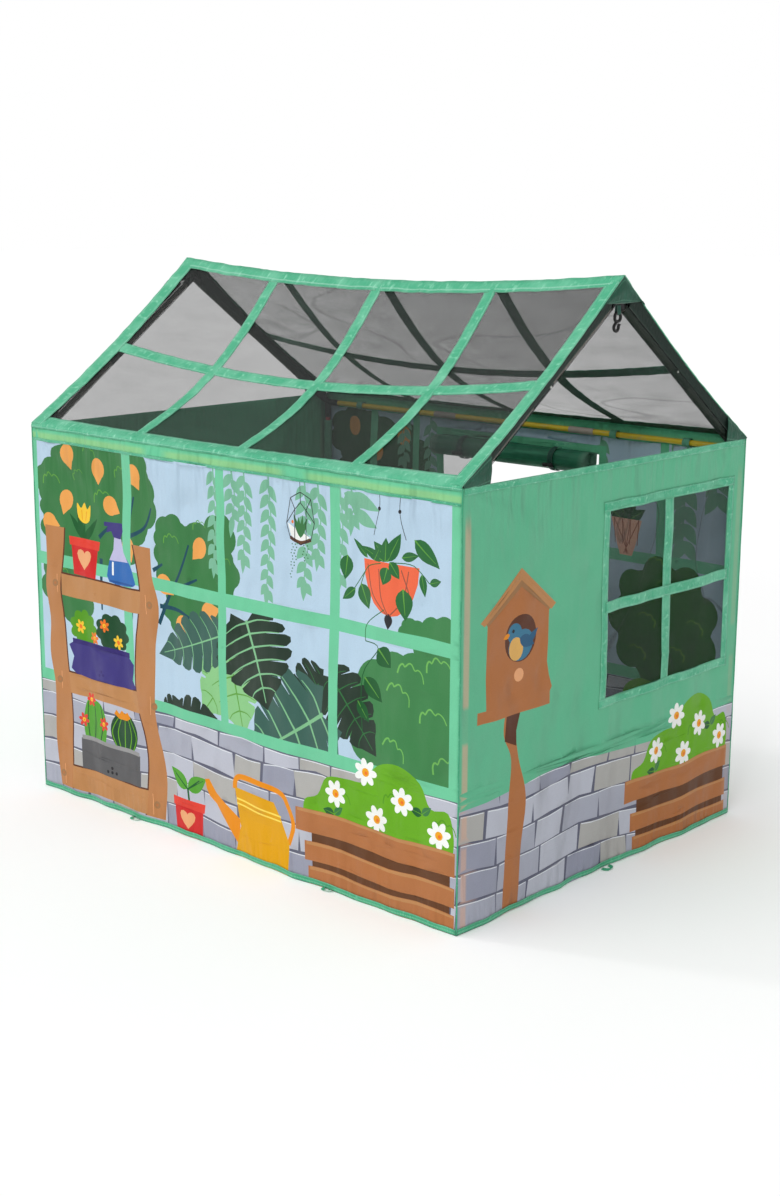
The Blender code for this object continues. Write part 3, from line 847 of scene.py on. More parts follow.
            art.stroke(Ink.CACTUS_DARK, [(u, 0.132), (u + bend, 0.17), (u + bend / 3, 0.205)], 0.0035, 0.5)
        art.disc(Ink.CACTUS_DARK, 0.256, 0.163, 0.041, 0.04, steps=24)
        for bend in (-0.036, -0.02, 0.0, 0.02, 0.036):
            art.stroke(Ink.BUSH, [(0.256 + bend * 0.7, 0.132), (0.256 + bend, 0.163),
                (0.256 + bend * 0.3, 0.201)], 0.0028, 0.6)
        art.area(Ink.CAN_DARK, milli(226, 197, 232, 206, 240, 199, 247, 207, 256, 201, 264, 206, 274, 196,
            262, 189, 240, 189))
        for u, z in milli(155, 211, 129, 165, 195, 169):
            art.flower(Ink.RED_DEEP, Ink.YELLOW, u, z, 0.014, 6)
        art.wash(Ink.GREY, 0.122, 0.304, 0.065, 0.128, 0.001)
        art.wash(Ink.GREY_LIGHT, 0.124, 0.302, 0.126, 0.134, 0.001)
        for du, dz in milli(0, 0, 12, 0, 24, 0, 12, 9):
            art.disc(Ink.BLACK, 0.204 + du, 0.075 + dz, 0.0035, steps=8)

    def hanging_things(self, art: Artwork) -> None:
        """Draws the wire lantern and the hanging basket, on the given print."""
        art.stroke(Ink.BLACK, milli(745, 709, 745, 692), 0.0012)
        shell = milli(745, 690, 722, 678, 713, 634, 722, 611, 745, 600, 768, 611, 776, 640, 768, 680)
        art.area(Ink.WHITE, [(0.745 + (u - 0.745) * 0.9, 0.645 + (z - 0.645) * 0.9) for u, z in shell[2:6]])
        for k in range(4):
            art.leaf(Ink.TREE, (0.745, 0.612), (0.73 + 0.01 * k, 0.652 - 0.004 * (k % 2)), 0.008)
        art.disc(Ink.ORANGE, 0.728, 0.638, 0.003, steps=8)
        art.stroke(Ink.SLAT_SHADE, milli(722, 611, 745, 604, 768, 611), 0.006)
        bars = [*zip(shell, [*shell[1:], shell[0]]), (shell[1], (0.733, 0.66)), (shell[7], (0.757, 0.66)),
            ((0.733, 0.66), shell[2]), ((0.757, 0.66), shell[6]), milli(733, 660, 745, 672),
            milli(757, 660, 745, 672), ((0.745, 0.672), shell[0]), milli(733, 660, 733, 606),
            milli(757, 660, 757, 606)]
        for start, end in bars:
            art.stroke(Ink.BLACK, [start, end], 0.0016, steps=1)
        for u, count in ((0.727, 12), (0.734, 8), (0.752, 6), (0.76, 5)):
            for k in range(count):
                art.disc(Ink.LEAF_GREEN, u + 0.0025 * sin(k * 1.7), 0.6 - 0.0052 * k, 0.0014, steps=6)
        for foot, top in (milli(917, 640, 929, 709), milli(984, 640, 973, 709)):
            art.stroke(Ink.BLACK, [foot, (top[0], 0.685), top], 0.0013)
            art.disc(Ink.BLACK, top[0], 0.685, 0.0035, steps=8)
        bowl = [(0.891 + 0.06 * (1 - cos(pi * k / 10)), 0.598 - 0.088 * sin(pi * k / 10)) for k in range(11)]
        art.area(Ink.BASKET, bowl)
        art.leaf(Ink.BLACK, (0.95, 0.515), (0.948, 0.488), 0.018)
        for start, end in (milli(900, 590, 945, 512), milli(990, 590, 952, 512), milli(925, 585, 948, 512),
                milli(975, 590, 992, 545)):
            middle = ((start[0] + end[0]) / 2 + (start[0] - 0.948) * 0.22, (start[1] + end[1]) / 2 - 0.008)
            art.stroke(Ink.SALMON_LINE, [start, middle, end], 0.002)
        for a, b, c, d, width in milli(945, 600, 916, 630, 26, 945, 600, 975, 650, 24, 940, 600, 945, 640,
                22, 935, 600, 885, 618, 18, 945, 590, 935, 560, 28, 950, 600, 972, 575, 22, 900, 600, 866,
                628, 12, 975, 610, 1010, 618, 16, 1000, 642, 1052, 602, 30, 885, 555, 905, 515, 30, 980, 560,
                985, 508, 34, 853, 598, 848, 556, 30, 872, 545, 842, 522, 18, 1030, 575, 1056, 583, 14, 1015,
                588, 1022, 552, 14, 915, 598, 930, 622, 16, size=5):
            art.leaf(Ink.LEAF_GREEN, (a, b), (c, d), width, Ink.TREE_LIGHT)
        for line in (milli(930, 595, 900, 585, 885, 555), milli(900, 585, 870, 545),
                milli(960, 600, 1000, 600, 1030, 575), milli(940, 520, 900, 490, 895, 460)):
            art.stroke(Ink.LEAF_GREEN, line, 0.0016)
        for a, b, c, d, width in milli(925, 452, 955, 425, 40, 895, 398, 935, 362, 32, 880, 355, 905, 322,
                22, size=5):
            art.leaf(Ink.TREE_DARK, (a, b), (c, d), width, Ink.TREE_LIGHT)
        art.stroke(Ink.TREE_DARK, milli(895, 460, 925, 452, 890, 400, 890, 300), 0.0018)

    def floor_things(self, art: Artwork) -> None:
        """Draws the seedling and the watering can on the floor, on the given print."""
        for tip, width in (((0.391, 0.128), 0.03), ((0.491, 0.125), 0.032)):
            art.leaf(Ink.CACTUS, (0.44, 0.095), tip, width, Ink.TREE_DARK)
        art.stroke(Ink.TREE_DARK, milli(444, 70, 440, 96), 0.005)
        art.stroke(Ink.TREE_DARK, milli(440, 95, 405, 118), 0.0028)
        art.stroke(Ink.TREE_DARK, milli(440, 95, 472, 118), 0.0028)
        art.pot(Ink.RED, Ink.RED_DEEP, 0.441, 0.0, 0.036, 0.046, 0.074)
        art.heart(Ink.CREAM, 0.438, 0.036, 0.021)
        handle = milli(572, 128, 576, 148, 600, 154, 690, 151, 716, 130, 730, 98, 716, 60)
        art.stroke(Ink.CAN_DARK, handle, 0.0105)
        art.area(Ink.CAN_DARK, milli(488, 126, 500, 129, 520, 108, 585, 72, 582, 20, 520, 86, 500, 96, 492,
            108))
        art.area(Ink.CAN, milli(572, 131, 678, 128, 694, 104, 718, 60, 714, 0, 570, 0, 586, 60))
        for z in (0.11, 0.101):
            art.stroke(Ink.CAN_LIGHT, [(0.577, z + 0.001), (0.64, z - 0.003), (0.696, z - 0.005)], 0.0032)


@dataclass
class RightEnd(Wall):
    """The end wall with the birdhouse, the planter and the net window."""

    window: tuple[float, float, float, float] = (0.0, 0.0, 0.0, 0.0)

    @property
    def opening(self) -> float:
        """The window's area in square metres."""
        left, right, low, high = self.window
        return (right - left) * (high - low)

    def picture(self) -> Artwork:
        """Draws the birdhouse, the stone wall and the planter, and cuts the window out.

        Returns:
            The print.
        """
        art = Artwork(self.width, self.height, Ink.WALL_GREEN)
        art.bricks(0.0, self.width, 0.226, seed=21)
        art.uneven_top(0.85, 4.4)
        post = milli(118, 360, 112, 315, 130, 270, 124, 190, 119, 120, 118, 0)
        edge = milli(158, 0, 160, 120, 168, 200, 148, 270, 142, 320, 154, 360)
        art.area(Ink.WOOD_DARK, curve_through(post) + curve_through(edge))
        art.area(Ink.WOOD_SHADE, milli(120, 350, 153, 350, 143, 318, 143, 292, 114, 305))
        art.area(Ink.WOOD_DARK, curve_through(milli(66, 360, 228, 360, 224, 420, 226, 520), steps=3)
            + milli(146, 585, 63, 515, 64, 420))
        art.area(Ink.KNOT, milli(56, 516, 146, 582, 238, 516, 226, 508, 146, 560, 64, 506))
        art.area(Ink.WOOD, milli(46, 515, 56, 508, 146, 571, 232, 508, 243, 517, 146, 591))
        art.wash(Ink.WOOD_DARK, 0.044, 0.233, 0.346, 0.367, 0.001)
        art.disc(Ink.WOOD_SHADE, 0.149, 0.474, 0.04, steps=28)
        self.songbird(art)
        art.disc(Ink.CREAM, 0.147, 0.412, 0.0115, steps=16)
        art.crate(0.468, 0.8, 0.146)
        left, right, low, high = self.window
        art.area(None, [(left, low), (right, low), (right, high), (left, high)])
        return art

    def songbird(self, art: Artwork) -> None:
        """Draws a plain round songbird in the birdhouse's hole, on the given print."""
        art.disc(Ink.BIRD, 0.15, 0.462, 0.031, 0.026, 0.3)
        art.disc(Ink.BIRD, 0.133, 0.484, 0.017)
        art.disc(Ink.BIRD_BREAST, 0.138, 0.457, 0.017, 0.02, 0.2)
        art.leaf(Ink.BIRD_WING, (0.146, 0.474), (0.184, 0.458), 0.022)
        art.leaf(Ink.BIRD_WING, (0.165, 0.462), (0.194, 0.484), 0.014)
        art.leaf(Ink.CAN_DARK, (0.121, 0.484), (0.104, 0.479), 0.009)
        art.disc(Ink.BLACK, 0.13, 0.488, 0.0032, steps=10)


@dataclass
class LeftEnd(Wall):
    """The plain end wall: green cloth over a printed stone foot with climbing leaves."""

    def picture(self) -> Artwork:
        """Draws the stone foot, a trellis plant and a planter.

        Returns:
            The print.
        """
        art = Artwork(self.width, self.height, Ink.WALL_GREEN)
        art.bricks(0.0, self.width, 0.226, seed=33)
        art.uneven_top(0.8, 0.0)
        art.crate(0.06, 0.38, 0.146)
        for u in (0.52, 0.6, 0.68):
            art.wash(Ink.WOOD, u, u + 0.014, 0.0, 0.52, 0.0015)
        for z in (0.16, 0.3, 0.44):
            art.wash(Ink.WOOD, 0.49, 0.73, z, z + 0.014, 0.0015)
        stem = milli(600, 0, 570, 120, 630, 240, 580, 360, 640, 480, 610, 570)
        art.stroke(Ink.TREE_DARK, stem, 0.008, 0.4)
        for k, (u, z) in enumerate(curve_through(stem, steps=4)[1:]):
            side = -1 if k % 2 else 1
            art.leaf(Ink.TREE, (u, z), (u + side * 0.062, z + 0.022), 0.036, Ink.TREE_LIGHT)
        for u, z in milli(540, 200, 660, 300, 550, 420, 670, 470, 600, 560):
            art.flower(Ink.WHITE, Ink.DAISY_HEART, u, z, 0.022)
        return art


@dataclass
class BackWall(Wall):
    """The long wall with the doorway, printed with panes, a tree and a hanging pot."""

    door: tuple[float, float, float] = (0.0, 0.0, 0.0)

    @property
    def opening(self) -> float:
        """The doorway's area in square metres."""
        left, right, top = self.door
        return (right - left) * top

    def picture(self) -> Artwork:
        """Draws the panes, trees and pots, and cuts the doorway out.

        Returns:
            The print.
        """
        art = Artwork(self.width, self.height, Ink.SKY)
        for u, z, across, tall, lobes in ((0.95, 0.4, 0.12, 0.14, 11), (1.02, 0.52, 0.08, 0.08, 8)):
            art.foliage(Ink.TREE_DARK, u, z, across, tall, lobes)
        for u, z, across, tall, lobes in ((0.9, 0.6, 0.13, 0.1, 9), (1.0, 0.65, 0.09, 0.07, 7)):
            art.foliage(Ink.TREE_DARK, u, z, across, tall, lobes)
        for u, z in milli(860, 660, 940, 620, 830, 570, 1010, 670, 990, 570, 910, 510):
            art.disc(Ink.FRUIT, u, z, 0.019, 0.022)
        for u, z in milli(930, 360, 1000, 460, 900, 460):
            art.squiggle(Ink.TREE_LIGHT, u, z, 0.045, 0.3)
        painter = FrontWall("", "", Vector(), Vector((1, 0, 0)), self.width, 0.0, ())
        for u, length in milli(780, 150, 860, 100, 330, 100):
            painter.vine(art, u, length)
        for u, length in milli(55, 90, 125, 190, 160, 90):
            art.stroke(Ink.VINE, [(u, 0.709), (u + 0.004, 0.709 - length)], 0.004)
            for k in range(round(length / 0.034)):
                z = 0.695 - 0.034 * k
                art.leaf(Ink.VINE, (u, z), (u + 0.026, z - 0.046), 0.026)
                art.leaf(Ink.VINE, (u, z), (u - 0.026, z - 0.04), 0.026)
        for left, right in milli(170, 190, 815, 835, 938, 958):
            art.wash(Ink.FRAME_GREEN, left, right, 0.24, 0.712, 0.0016)
        art.wash(Ink.FRAME_GREEN, 0.0, self.width, 0.464, 0.488, 0.0014)
        art.wash(Ink.FRAME_GREEN, 0.0, self.width, 0.226, 0.25, 0.0014)
        for left, right in ((0.0, 0.014), (self.width - 0.014, self.width)):
            art.rect(Ink.FRAME_GREEN, left, 0.225, right, self.height)
        art.bricks(0.0, self.width, 0.226, seed=5)
        art.foliage(Ink.TREE_DEEP, 0.168, 0.35, 0.132, 0.138, 9, 0.22)
        for u, z in milli(80, 340, 150, 410, 120, 280, 190, 340, 210, 270, 170, 455):
            art.squiggle(Ink.BUSH, u, z, 0.042, 0.5)
        for base, tip in (milli(261, 545, 216, 575), milli(261, 545, 238, 612), milli(261, 545, 262, 620),
                milli(261, 545, 286, 610), milli(261, 545, 310, 572)):
            art.leaf(Ink.TREE_DARK, base, tip, 0.026, Ink.TREE_LIGHT)
        art.area(Ink.SALMON, milli(224, 552, 298, 552, 284, 500, 276, 478, 246, 478, 238, 500))
        for shift in (-0.03, -0.01, 0.01, 0.03):
            art.stroke(Ink.SALMON_LINE, [(0.261 + shift, 0.551), (0.261 - shift * 0.2, 0.481)], 0.0018)
            art.stroke(Ink.SALMON_LINE, [(0.261 + shift, 0.551), (0.261 + shift * 0.9, 0.5)], 0.0018)
        art.crate(0.03, 0.31, 0.108)
        art.pot(Ink.SALMON, Ink.BASKET, 0.88, 0.0, 0.05, 0.068, 0.11)
        for k in range(7):
            art.leaf(Ink.LEAF_GREEN, (0.88, 0.105), (0.8 + k * 0.027, 0.2 + 0.03 * sin(k * 0.52)), 0.026,
                Ink.TREE_LIGHT)
        left, right, top = self.door
        art.rect(Ink.FRAME_GREEN, left - 0.018, 0.0, right + 0.018, top + 0.018)
        art.rect(Ink.BAND_GREEN, 0.0, 0.709, self.width, self.height)
        art.rect(None, left, -0.01, right, top)
        return art


class Graph:
    """One material's nodes, added and linked one at a time."""

    def __init__(self, name: str) -> None:
        """Starts an empty material of this name with its output.

        Args:
            name: the material's name.
        """
        self.material = bpy.data.materials.new(name)
        self.material.use_nodes = True
        self.nodes = self.material.node_tree.nodes
        self.nodes.clear()
        self.output = self.nodes.new("ShaderNodeOutputMaterial")

    def add(self, kind: str, **values: object) -> bpy.types.Node:
        """Adds a node.

        Args:
            kind: the node's type, without its usual prefix.
            values: its settings in lower case, and its sockets by name or number, linked or set.

        Returns:
            The node.
        """
        node = self.nodes.new("ShaderNode" + kind)
        for name, value in values.items():
            if name[0].islower():
                setattr(node, name, value)
                continue
            socket = node.inputs[int(name[1:]) if name[1:].isdigit() else name.replace("_", " ")]
            if isinstance(value, Socket):
                self.material.node_tree.links.new(value, socket)
            elif value is not None:
                socket.default_value = value
        return node

    def place(self, stretch: Sequence[float] = (1.0, 1.0, 1.0), own: bool = False) -> Socket:
        """Object coordinates, or the piece's own UV ones, where a pattern is finer by the stretch."""
        source = self.add("UVMap").outputs[0] if own else self.add("TexCoord").outputs["Object"]
        return self.add("Mapping", Vector=source, Scale=stretch).outputs[0]

    def cloud(self, place: Socket, scale: float, detail: float = 3.0) -> Socket:
        """Soft noise from 0 to 1, with its cells per metre and its octaves."""
        return self.add("TexNoise", Vector=place, Scale=scale, Detail=detail).outputs[0]

    def sums(self, operation: str, first: object, second: object = 0.0) -> Socket:
        """One named sum on two values, each a socket or a number."""
        return self.add("Math", operation=operation, _0=first, _1=second).outputs[0]

    def fit(self, value: Socket, low: float, high: float, start: float = 0.0, stop: float = 1.0) -> Socket:
        """Maps a value that runs from start to stop onto low to high, and clamps it."""
        return self.add("MapRange", Value=value, From_Min=start, From_Max=stop, To_Min=low,
            To_Max=high).outputs[0]

    def blend(self, share: object, first: object, second: object, mode: str = "MIX") -> Socket:
        """Mixes two colours by the share of the second, each a socket or a value."""
        return self.add("Mix", data_type="RGBA", blend_type=mode, _0=share, _6=first, _7=second).outputs[2]

    def bump(self, height: Socket, depth: float, strength: float, under: Socket | None = None) -> Socket:
        """Relief from a height, whose 1 stands for the depth in metres, on top of the normal under it."""
        return self.add("Bump", Height=height, Distance=depth, Strength=strength, Normal=under).outputs[0]

    def close(self, **values: object) -> Material:
        """Ends the material with its surface shader, whose sockets are given by name."""
        self.material.node_tree.links.new(self.add("BsdfPrincipled", **values).outputs[0],
            self.output.inputs[0])
        return self.material


def weave(graph: Graph, place: Socket, threads: float) -> Socket:
    """Plain weave, from 0 to 1 high: two crossing sets of threads, so many per metre."""
    waves = [graph.add("TexWave", bands_direction=way, Vector=place, Scale=threads / 20, Distortion=0.6,
        Detail=1.0) for way in ("X", "Z")]
    return graph.sums("MAXIMUM", waves[0].outputs[1], waves[1].outputs[1])


@dataclass(frozen=True)
class PrintedCloth:
    """Thin satin polyester with the print in its colour attribute."""

    name: str = "printed_polyester"
    roughness: float = 0.42
    sheen: float = 0.02

    def make(self) -> Material:
        """Builds the finish and returns its material."""
        graph = Graph(self.name)
        ink = graph.add("Attribute", attribute_name="ink")
        place = graph.place()
        faded = graph.cloud(place, 9.0, 4.0)
        tone = graph.blend(graph.fit(faded, 0.0, 0.012, 0.35, 0.7), ink.outputs["Color"],
            linear((255, 255, 250)))
        grain = graph.cloud(place, 900.0, 2.0)
        colour = graph.blend(graph.fit(grain, 0.0, 0.1, 0.45, 0.75), tone, linear((60, 72, 78)), "MULTIPLY")
        crumple = graph.add("TexVoronoi", feature="SMOOTH_F1", Vector=place, Scale=15.0)
        normal = graph.bump(crumple.outputs[0], 0.022, 0.6)
        normal = graph.bump(graph.cloud(graph.place((11.0, 11.0, 5.0)), 1.0, 2.0), 0.03, 0.7, normal)
        height = graph.add("SeparateXYZ", Vector=place).outputs[2]
        under_hem = graph.sums("MULTIPLY", graph.fit(height, 0.0, 1.0, 0.58, 0.72),
            graph.cloud(graph.place((48.0, 48.0, 7.0)), 1.0, 1.5))
        above_hem = graph.sums("MULTIPLY", graph.fit(height, 1.0, 0.0, 0.0, 0.08),
            graph.cloud(graph.place((50.0, 50.0, 8.0)), 1.0, 1.5))
        normal = graph.bump(graph.sums("ADD", under_hem, above_hem), 0.014, 0.8, normal)
        normal = graph.bump(weave(graph, place, 1500.0), 0.0002, 0.2, normal)
        rough = graph.fit(graph.cloud(place, 40.0), self.roughness - 0.06, self.roughness + 0.1)
        return graph.close(Base_Color=colour, Roughness=rough, Normal=normal, Sheen_Weight=self.sheen,
            Sheen_Roughness=0.4, Specular_IOR_Level=0.12)


@dataclass(frozen=True)
class TapeCloth:
    """Satin tape with a row of stitches near each edge, read from its UV map, and painted highlights in
    patches, in streaks across it and along its edges.
    """

    name: str
    colour: Colour
    thread: Colour
    painted_highlight: Colour
    roughness: float = 0.36
    stitch_row: float = 0.13
    stitch_pitch: float = 0.0034

    def make(self) -> Material:
        """Builds the finish and returns its material."""
        graph = Graph(self.name)
        split = graph.add("SeparateXYZ", Vector=graph.add("UVMap").outputs[0])
        along, across = split.outputs[0], split.outputs[1]
        edge = graph.sums("SUBTRACT", 0.5, graph.sums("ABSOLUTE", graph.sums("SUBTRACT", across, 0.5)))
        row = graph.fit(graph.sums("ABSOLUTE", graph.sums("SUBTRACT", edge, self.stitch_row)), 1.0, 0.0,
            0.012, 0.035)
        dash = graph.sums("FRACT", graph.sums("DIVIDE", along, self.stitch_pitch))
        stitch = graph.sums("MULTIPLY", row, graph.sums("LESS_THAN", dash, 0.66))
        place = graph.place()
        puckers = graph.cloud(graph.place((150.0, 3.0, 1.0), own=True), 1.0, 3.0)
        patchy = graph.cloud(place, 26.0, 4.0)
        highlight_streaks = graph.cloud(graph.place((105.0, 2.2, 1.0), own=True), 1.0, 4.0)
        # painted highlight: the tape's colour is mixed towards a paler highlight colour in soft patches,
        # then in thin streaks across it
        soft = graph.blend(graph.fit(patchy, 0.0, 0.4, 0.42, 0.68), linear(self.colour), linear(self.painted_highlight))
        tone = graph.blend(graph.fit(highlight_streaks, 0.0, 0.8, 0.56, 0.7), soft, linear(self.painted_highlight))
        # painted highlight: near-white along the tape's edges
        edge_highlight = graph.blend(graph.fit(edge, 0.15, 0.0, 0.0, 0.05), tone, linear((226, 240, 232)))
        colour = graph.blend(stitch, edge_highlight, linear(self.thread))
        normal = graph.bump(puckers, 0.003, 0.8)
        normal = graph.bump(weave(graph, place, 1300.0), 0.00025, 0.25, normal)
        normal = graph.bump(graph.sums("SUBTRACT", graph.fit(row, 1.0, 0.35), graph.fit(stitch, 0.0, -0.5)),
            0.0005, 0.6, normal)
        rough = graph.fit(patchy, self.roughness - 0.05, self.roughness + 0.14)
        return graph.close(Base_Color=colour, Roughness=rough, Normal=normal, Sheen_Weight=0.02,
            Sheen_Roughness=0.35, Specular_IOR_Level=0.3)


@dataclass(frozen=True)
class Net:
    """Fine knitted net: a share of the light goes straight through."""

    name: str
    colour: Colour
    cover: float
    spread: float = 0.015
    crease: float = 0.0
    thin: float = 0.0

    def make(self) -> Material:
        """Builds the finish and returns its material."""
        graph = Graph(self.name)
        place = graph.place()
        cloud = graph.cloud(graph.place((1.0, 2.4, 1.6)), 13.0, 5.0)
        folds = graph.cloud(graph.place((2.2, 7.0, 5.0)), 1.0, 1.0)
        fold = graph.sums("ABSOLUTE", graph.sums("SUBTRACT", folds, 0.5))
        line = graph.fit(fold, self.crease, 0.0, 0.0, 0.012)
        length = graph.add("SeparateXYZ", Vector=place).outputs[0]
        slack = graph.sums("SUBTRACT", line, graph.fit(length, self.thin, 0.0, -0.45, 0.45))
        cover = graph.sums("ADD", graph.fit(cloud, self.cover - self.spread, self.cover + self.spread, 0.3,
            0.7), slack)
        knit = graph.add("TexVoronoi", Vector=place, Scale=700.0)
        tone = graph.blend(graph.fit(knit.outputs[0], 0.0, 0.5), linear(self.colour),
            linear([c * 2 for c in self.colour]))
        normal = graph.bump(knit.outputs[0], 0.0003, 0.4)
        return graph.close(Base_Color=tone, Alpha=cover, Roughness=0.75, Normal=normal, Sheen_Weight=0.04)


@dataclass(frozen=True)
class PoleCoat:
    """Painted steel tube with faint scuffs along it."""

    name: str
    colour: Colour
    roughness: float = 0.32
    metallic: float = 0.0

    def make(self) -> Material:
        """Builds the finish and returns its material."""
        graph = Graph(self.name)
        place = graph.place()
        scuff = graph.fit(graph.cloud(graph.place((60.0, 60.0, 400.0)), 1.0, 6.0), 0.0, 0.35, 0.56, 0.72)
        tone = graph.blend(graph.fit(graph.cloud(place, 60.0), 0.0, 0.25, 0.3, 0.7), linear(self.colour),
            linear([c * 3 // 4 for c in self.colour]))
        colour = graph.blend(scuff, tone, linear((176, 176, 172)))
        normal = graph.bump(graph.cloud(place, 900.0, 2.0), 0.0002, 0.15)
        rough = graph.fit(graph.cloud(place, 130.0), self.roughness - 0.06, self.roughness + 0.18)
        return graph.close(Base_Color=colour, Roughness=rough, Metallic=self.metallic, Normal=normal,
            Coat_Weight=0.25 * (1 - self.metallic), Coat_Roughness=0.2)


@dataclass(frozen=True)
class MouldedPlastic:
    """Moulded plastic with a fine spark-eroded grain."""

    name: str
    colour: Colour

    def make(self) -> Material:
        """Builds the finish and returns its material."""
        graph = Graph(self.name)
        place = graph.place()
        grain = graph.cloud(place, 1400.0, 3.0)
        colour = graph.blend(graph.fit(graph.cloud(place, 90.0), 0.0, 0.5, 0.45, 0.7), linear(self.colour),
            linear([c + 16 for c in self.colour]))
        return graph.close(Base_Color=colour, Roughness=graph.fit(grain, 0.34, 0.52),
            Normal=graph.bump(grain, 0.0003, 0.35), Specular_IOR_Level=0.4)


# the third colour of each tape finish is its painted highlight colour
RECIPES = {"cloth": PrintedCloth(), "tape": TapeCloth("satin_green_tape", (70, 174, 132), (150, 210, 184),
    # the next finish is the same tape coloured near-black green: painted shade for the tapes' inner side and
    # for the sheets under the rakes
    (140, 216, 182)), "tape_inner": TapeCloth("painted_shade_tape_back", (18, 36, 29), (44, 66, 56), (32, 50, 42),
    0.6), "binding": TapeCloth("green_binding", (58, 164, 120), (120, 196, 160), (96, 190, 150)),
    "dark": TapeCloth("dark_green_cloth", (30, 78, 60), (76, 124, 102), (50, 106, 86), 0.5),
    "pocket": TapeCloth("pocket_cloth", (92, 160, 130), (110, 178, 148), (112, 178, 148), 0.5),
    "door": TapeCloth("door_cloth", (28, 102, 74), (36, 112, 84), (60, 142, 108), 0.48),
    "webbing": TapeCloth("teal_webbing", (30, 74, 62), (52, 104, 88), (44, 92, 76), 0.6, 0.2, 0.0018),
    "roof_net": Net("roof_net", (28, 31, 30), 0.36), "roof_net_back": Net("roof_net_back", (40, 43, 42),
    0.43, 0.03, 0.09, 0.19), "window_net": Net("window_net", (26, 29, 30), 0.31, 0.02, 0.16),
    "sleeve_front": Net("sleeve_net_front", (20, 22, 21), 0.22), "sleeve_back": Net("sleeve_net_back",
    (16, 30, 23), 0.62), "red_pole": PoleCoat("red_pole", (190, 40, 44)),
    "yellow_pole": PoleCoat("yellow_pole", (226, 196, 40)), "grey_pole": PoleCoat("grey_pole",
    (172, 160, 150)), "ferrule": PoleCoat("ferrule", (74, 76, 78), 0.3, 0.7),
    "steel": PoleCoat("button_steel", (206, 206, 202), 0.22, 1.0), "plastic": MouldedPlastic("black_plastic",
    (13, 13, 14)),}


class Finishes:
    """Every material of the tent, made once and read by its short name."""

    def __init__(self) -> None:
        """Makes every material."""
        for name, recipe in RECIPES.items():
            setattr(self, name, recipe.make())


@dataclass
class Studio:
    """Pale floor, soft lights and the camera."""

    ambience: float = 0.53
    floor_glow: float = 0.07
    camera_place: Vector = field(default_factory=lambda: Vector((2.278, -2.446, 1.172)))
    azimuth: float = 42.65
    elevation: float = 12.83
    roll: float = 0.3
    lens: float = 53.0

    def floor(self) -> None:
        """Lays the pale floor."""
        bpy.ops.mesh.primitive_plane_add(size=60.0)
        plane = bpy.context.object
        plane.name = "studio_floor"
        graph = Graph("pale_floor")
        tone = graph.blend(graph.fit(graph.cloud(graph.place(), 3.0), 0.0, 0.3), linear((254, 254, 254)),
            linear((250, 250, 251)))
        plane.data.materials.append(graph.close(Base_Color=tone, Roughness=0.9, Specular_IOR_Level=0.1,
            Emission_Color=(1.0, 1.0, 1.0, 1.0), Emission_Strength=self.floor_glow))

    def sun(self, name: str, source: Vector, spread: float, power: float) -> None:
        """Hangs one broad, far light.

        Args:
            name, source: its name, and the direction that it shines from.
            spread, power: the angle that it fills in degrees, and its strength.
        """
        lamp = bpy.data.lights.new(name, "SUN")
        lamp.angle = radians(spread)
        lamp.energy = power
        item = bpy.data.objects.new(name, lamp)
        item.rotation_euler = source.to_track_quat("Z", "Y").to_euler()
        bpy.context.scene.collection.objects.link(item)

    def lights(self) -> None:
        """Sets the white surroundings and three lights."""
        world = bpy.data.worlds.new("studio")
        world.use_nodes = True
        tree = world.node_tree
        glow = tree.nodes["Background"]
        glow.inputs[0].default_value = (1.0, 1.0, 1.0, 1.0)
        glow.inputs[1].default_value = self.ambience
        backdrop = tree.nodes.new("ShaderNodeBackground")
        backdrop.inputs[0].default_value = (1.0, 1.0, 1.0, 1.0)
        mix = tree.nodes.new("ShaderNodeMixShader")
        tree.links.new(tree.nodes.new("ShaderNodeLightPath").outputs["Is Camera Ray"], mix.inputs[0])
        tree.links.new(glow.outputs[0], mix.inputs[1])
        tree.links.new(backdrop.outputs[0], mix.inputs[2])
        tree.links.new(mix.outputs[0], tree.nodes["World Output"].inputs[0])
        bpy.context.scene.world = world
        self.sun("broad_top_light", Vector((-0.1, -0.46, 1.0)), 60.0, 1.25)
        self.sun("left_light", Vector((-1.0, -0.42, 0.45)), 6.0, 0.42)
        self.sun("right_light", Vector((0.42, -1.0, 0.4)), 6.0, 0.3)
        bpy.context.scene.view_settings.view_transform = "Standard"

    def camera(self) -> None:
        """Puts the camera at the viewing angle."""
        azimuth, elevation = radians(self.azimuth), radians(self.elevation)
        back = Vector((sin(azimuth) * cos(elevation), -cos(azimuth) * cos(elevation), sin(elevation)))
        right = Vector((cos(azimuth), sin(azimuth), 0.0))
        above = back.cross(right)
        roll = radians(self.roll)
        turned = right * cos(roll) + above * sin(roll)
        head = above * cos(roll) - right * sin(roll)
        data = bpy.data.cameras.new("camera")
        data.lens = self.lens
        data.sensor_width = 36.0
        item = bpy.data.objects.new("camera", data)
        item.matrix_world = Matrix.Translation(self.camera_place) @ Matrix((turned, head,
            back)).transposed().to_4x4()
        bpy.context.scene.collection.objects.link(item)
        bpy.context.scene.camera = item

    def build(self) -> None:
        """Sets up the whole studio."""
        self.floor()
        self.lights()
        self.camera()


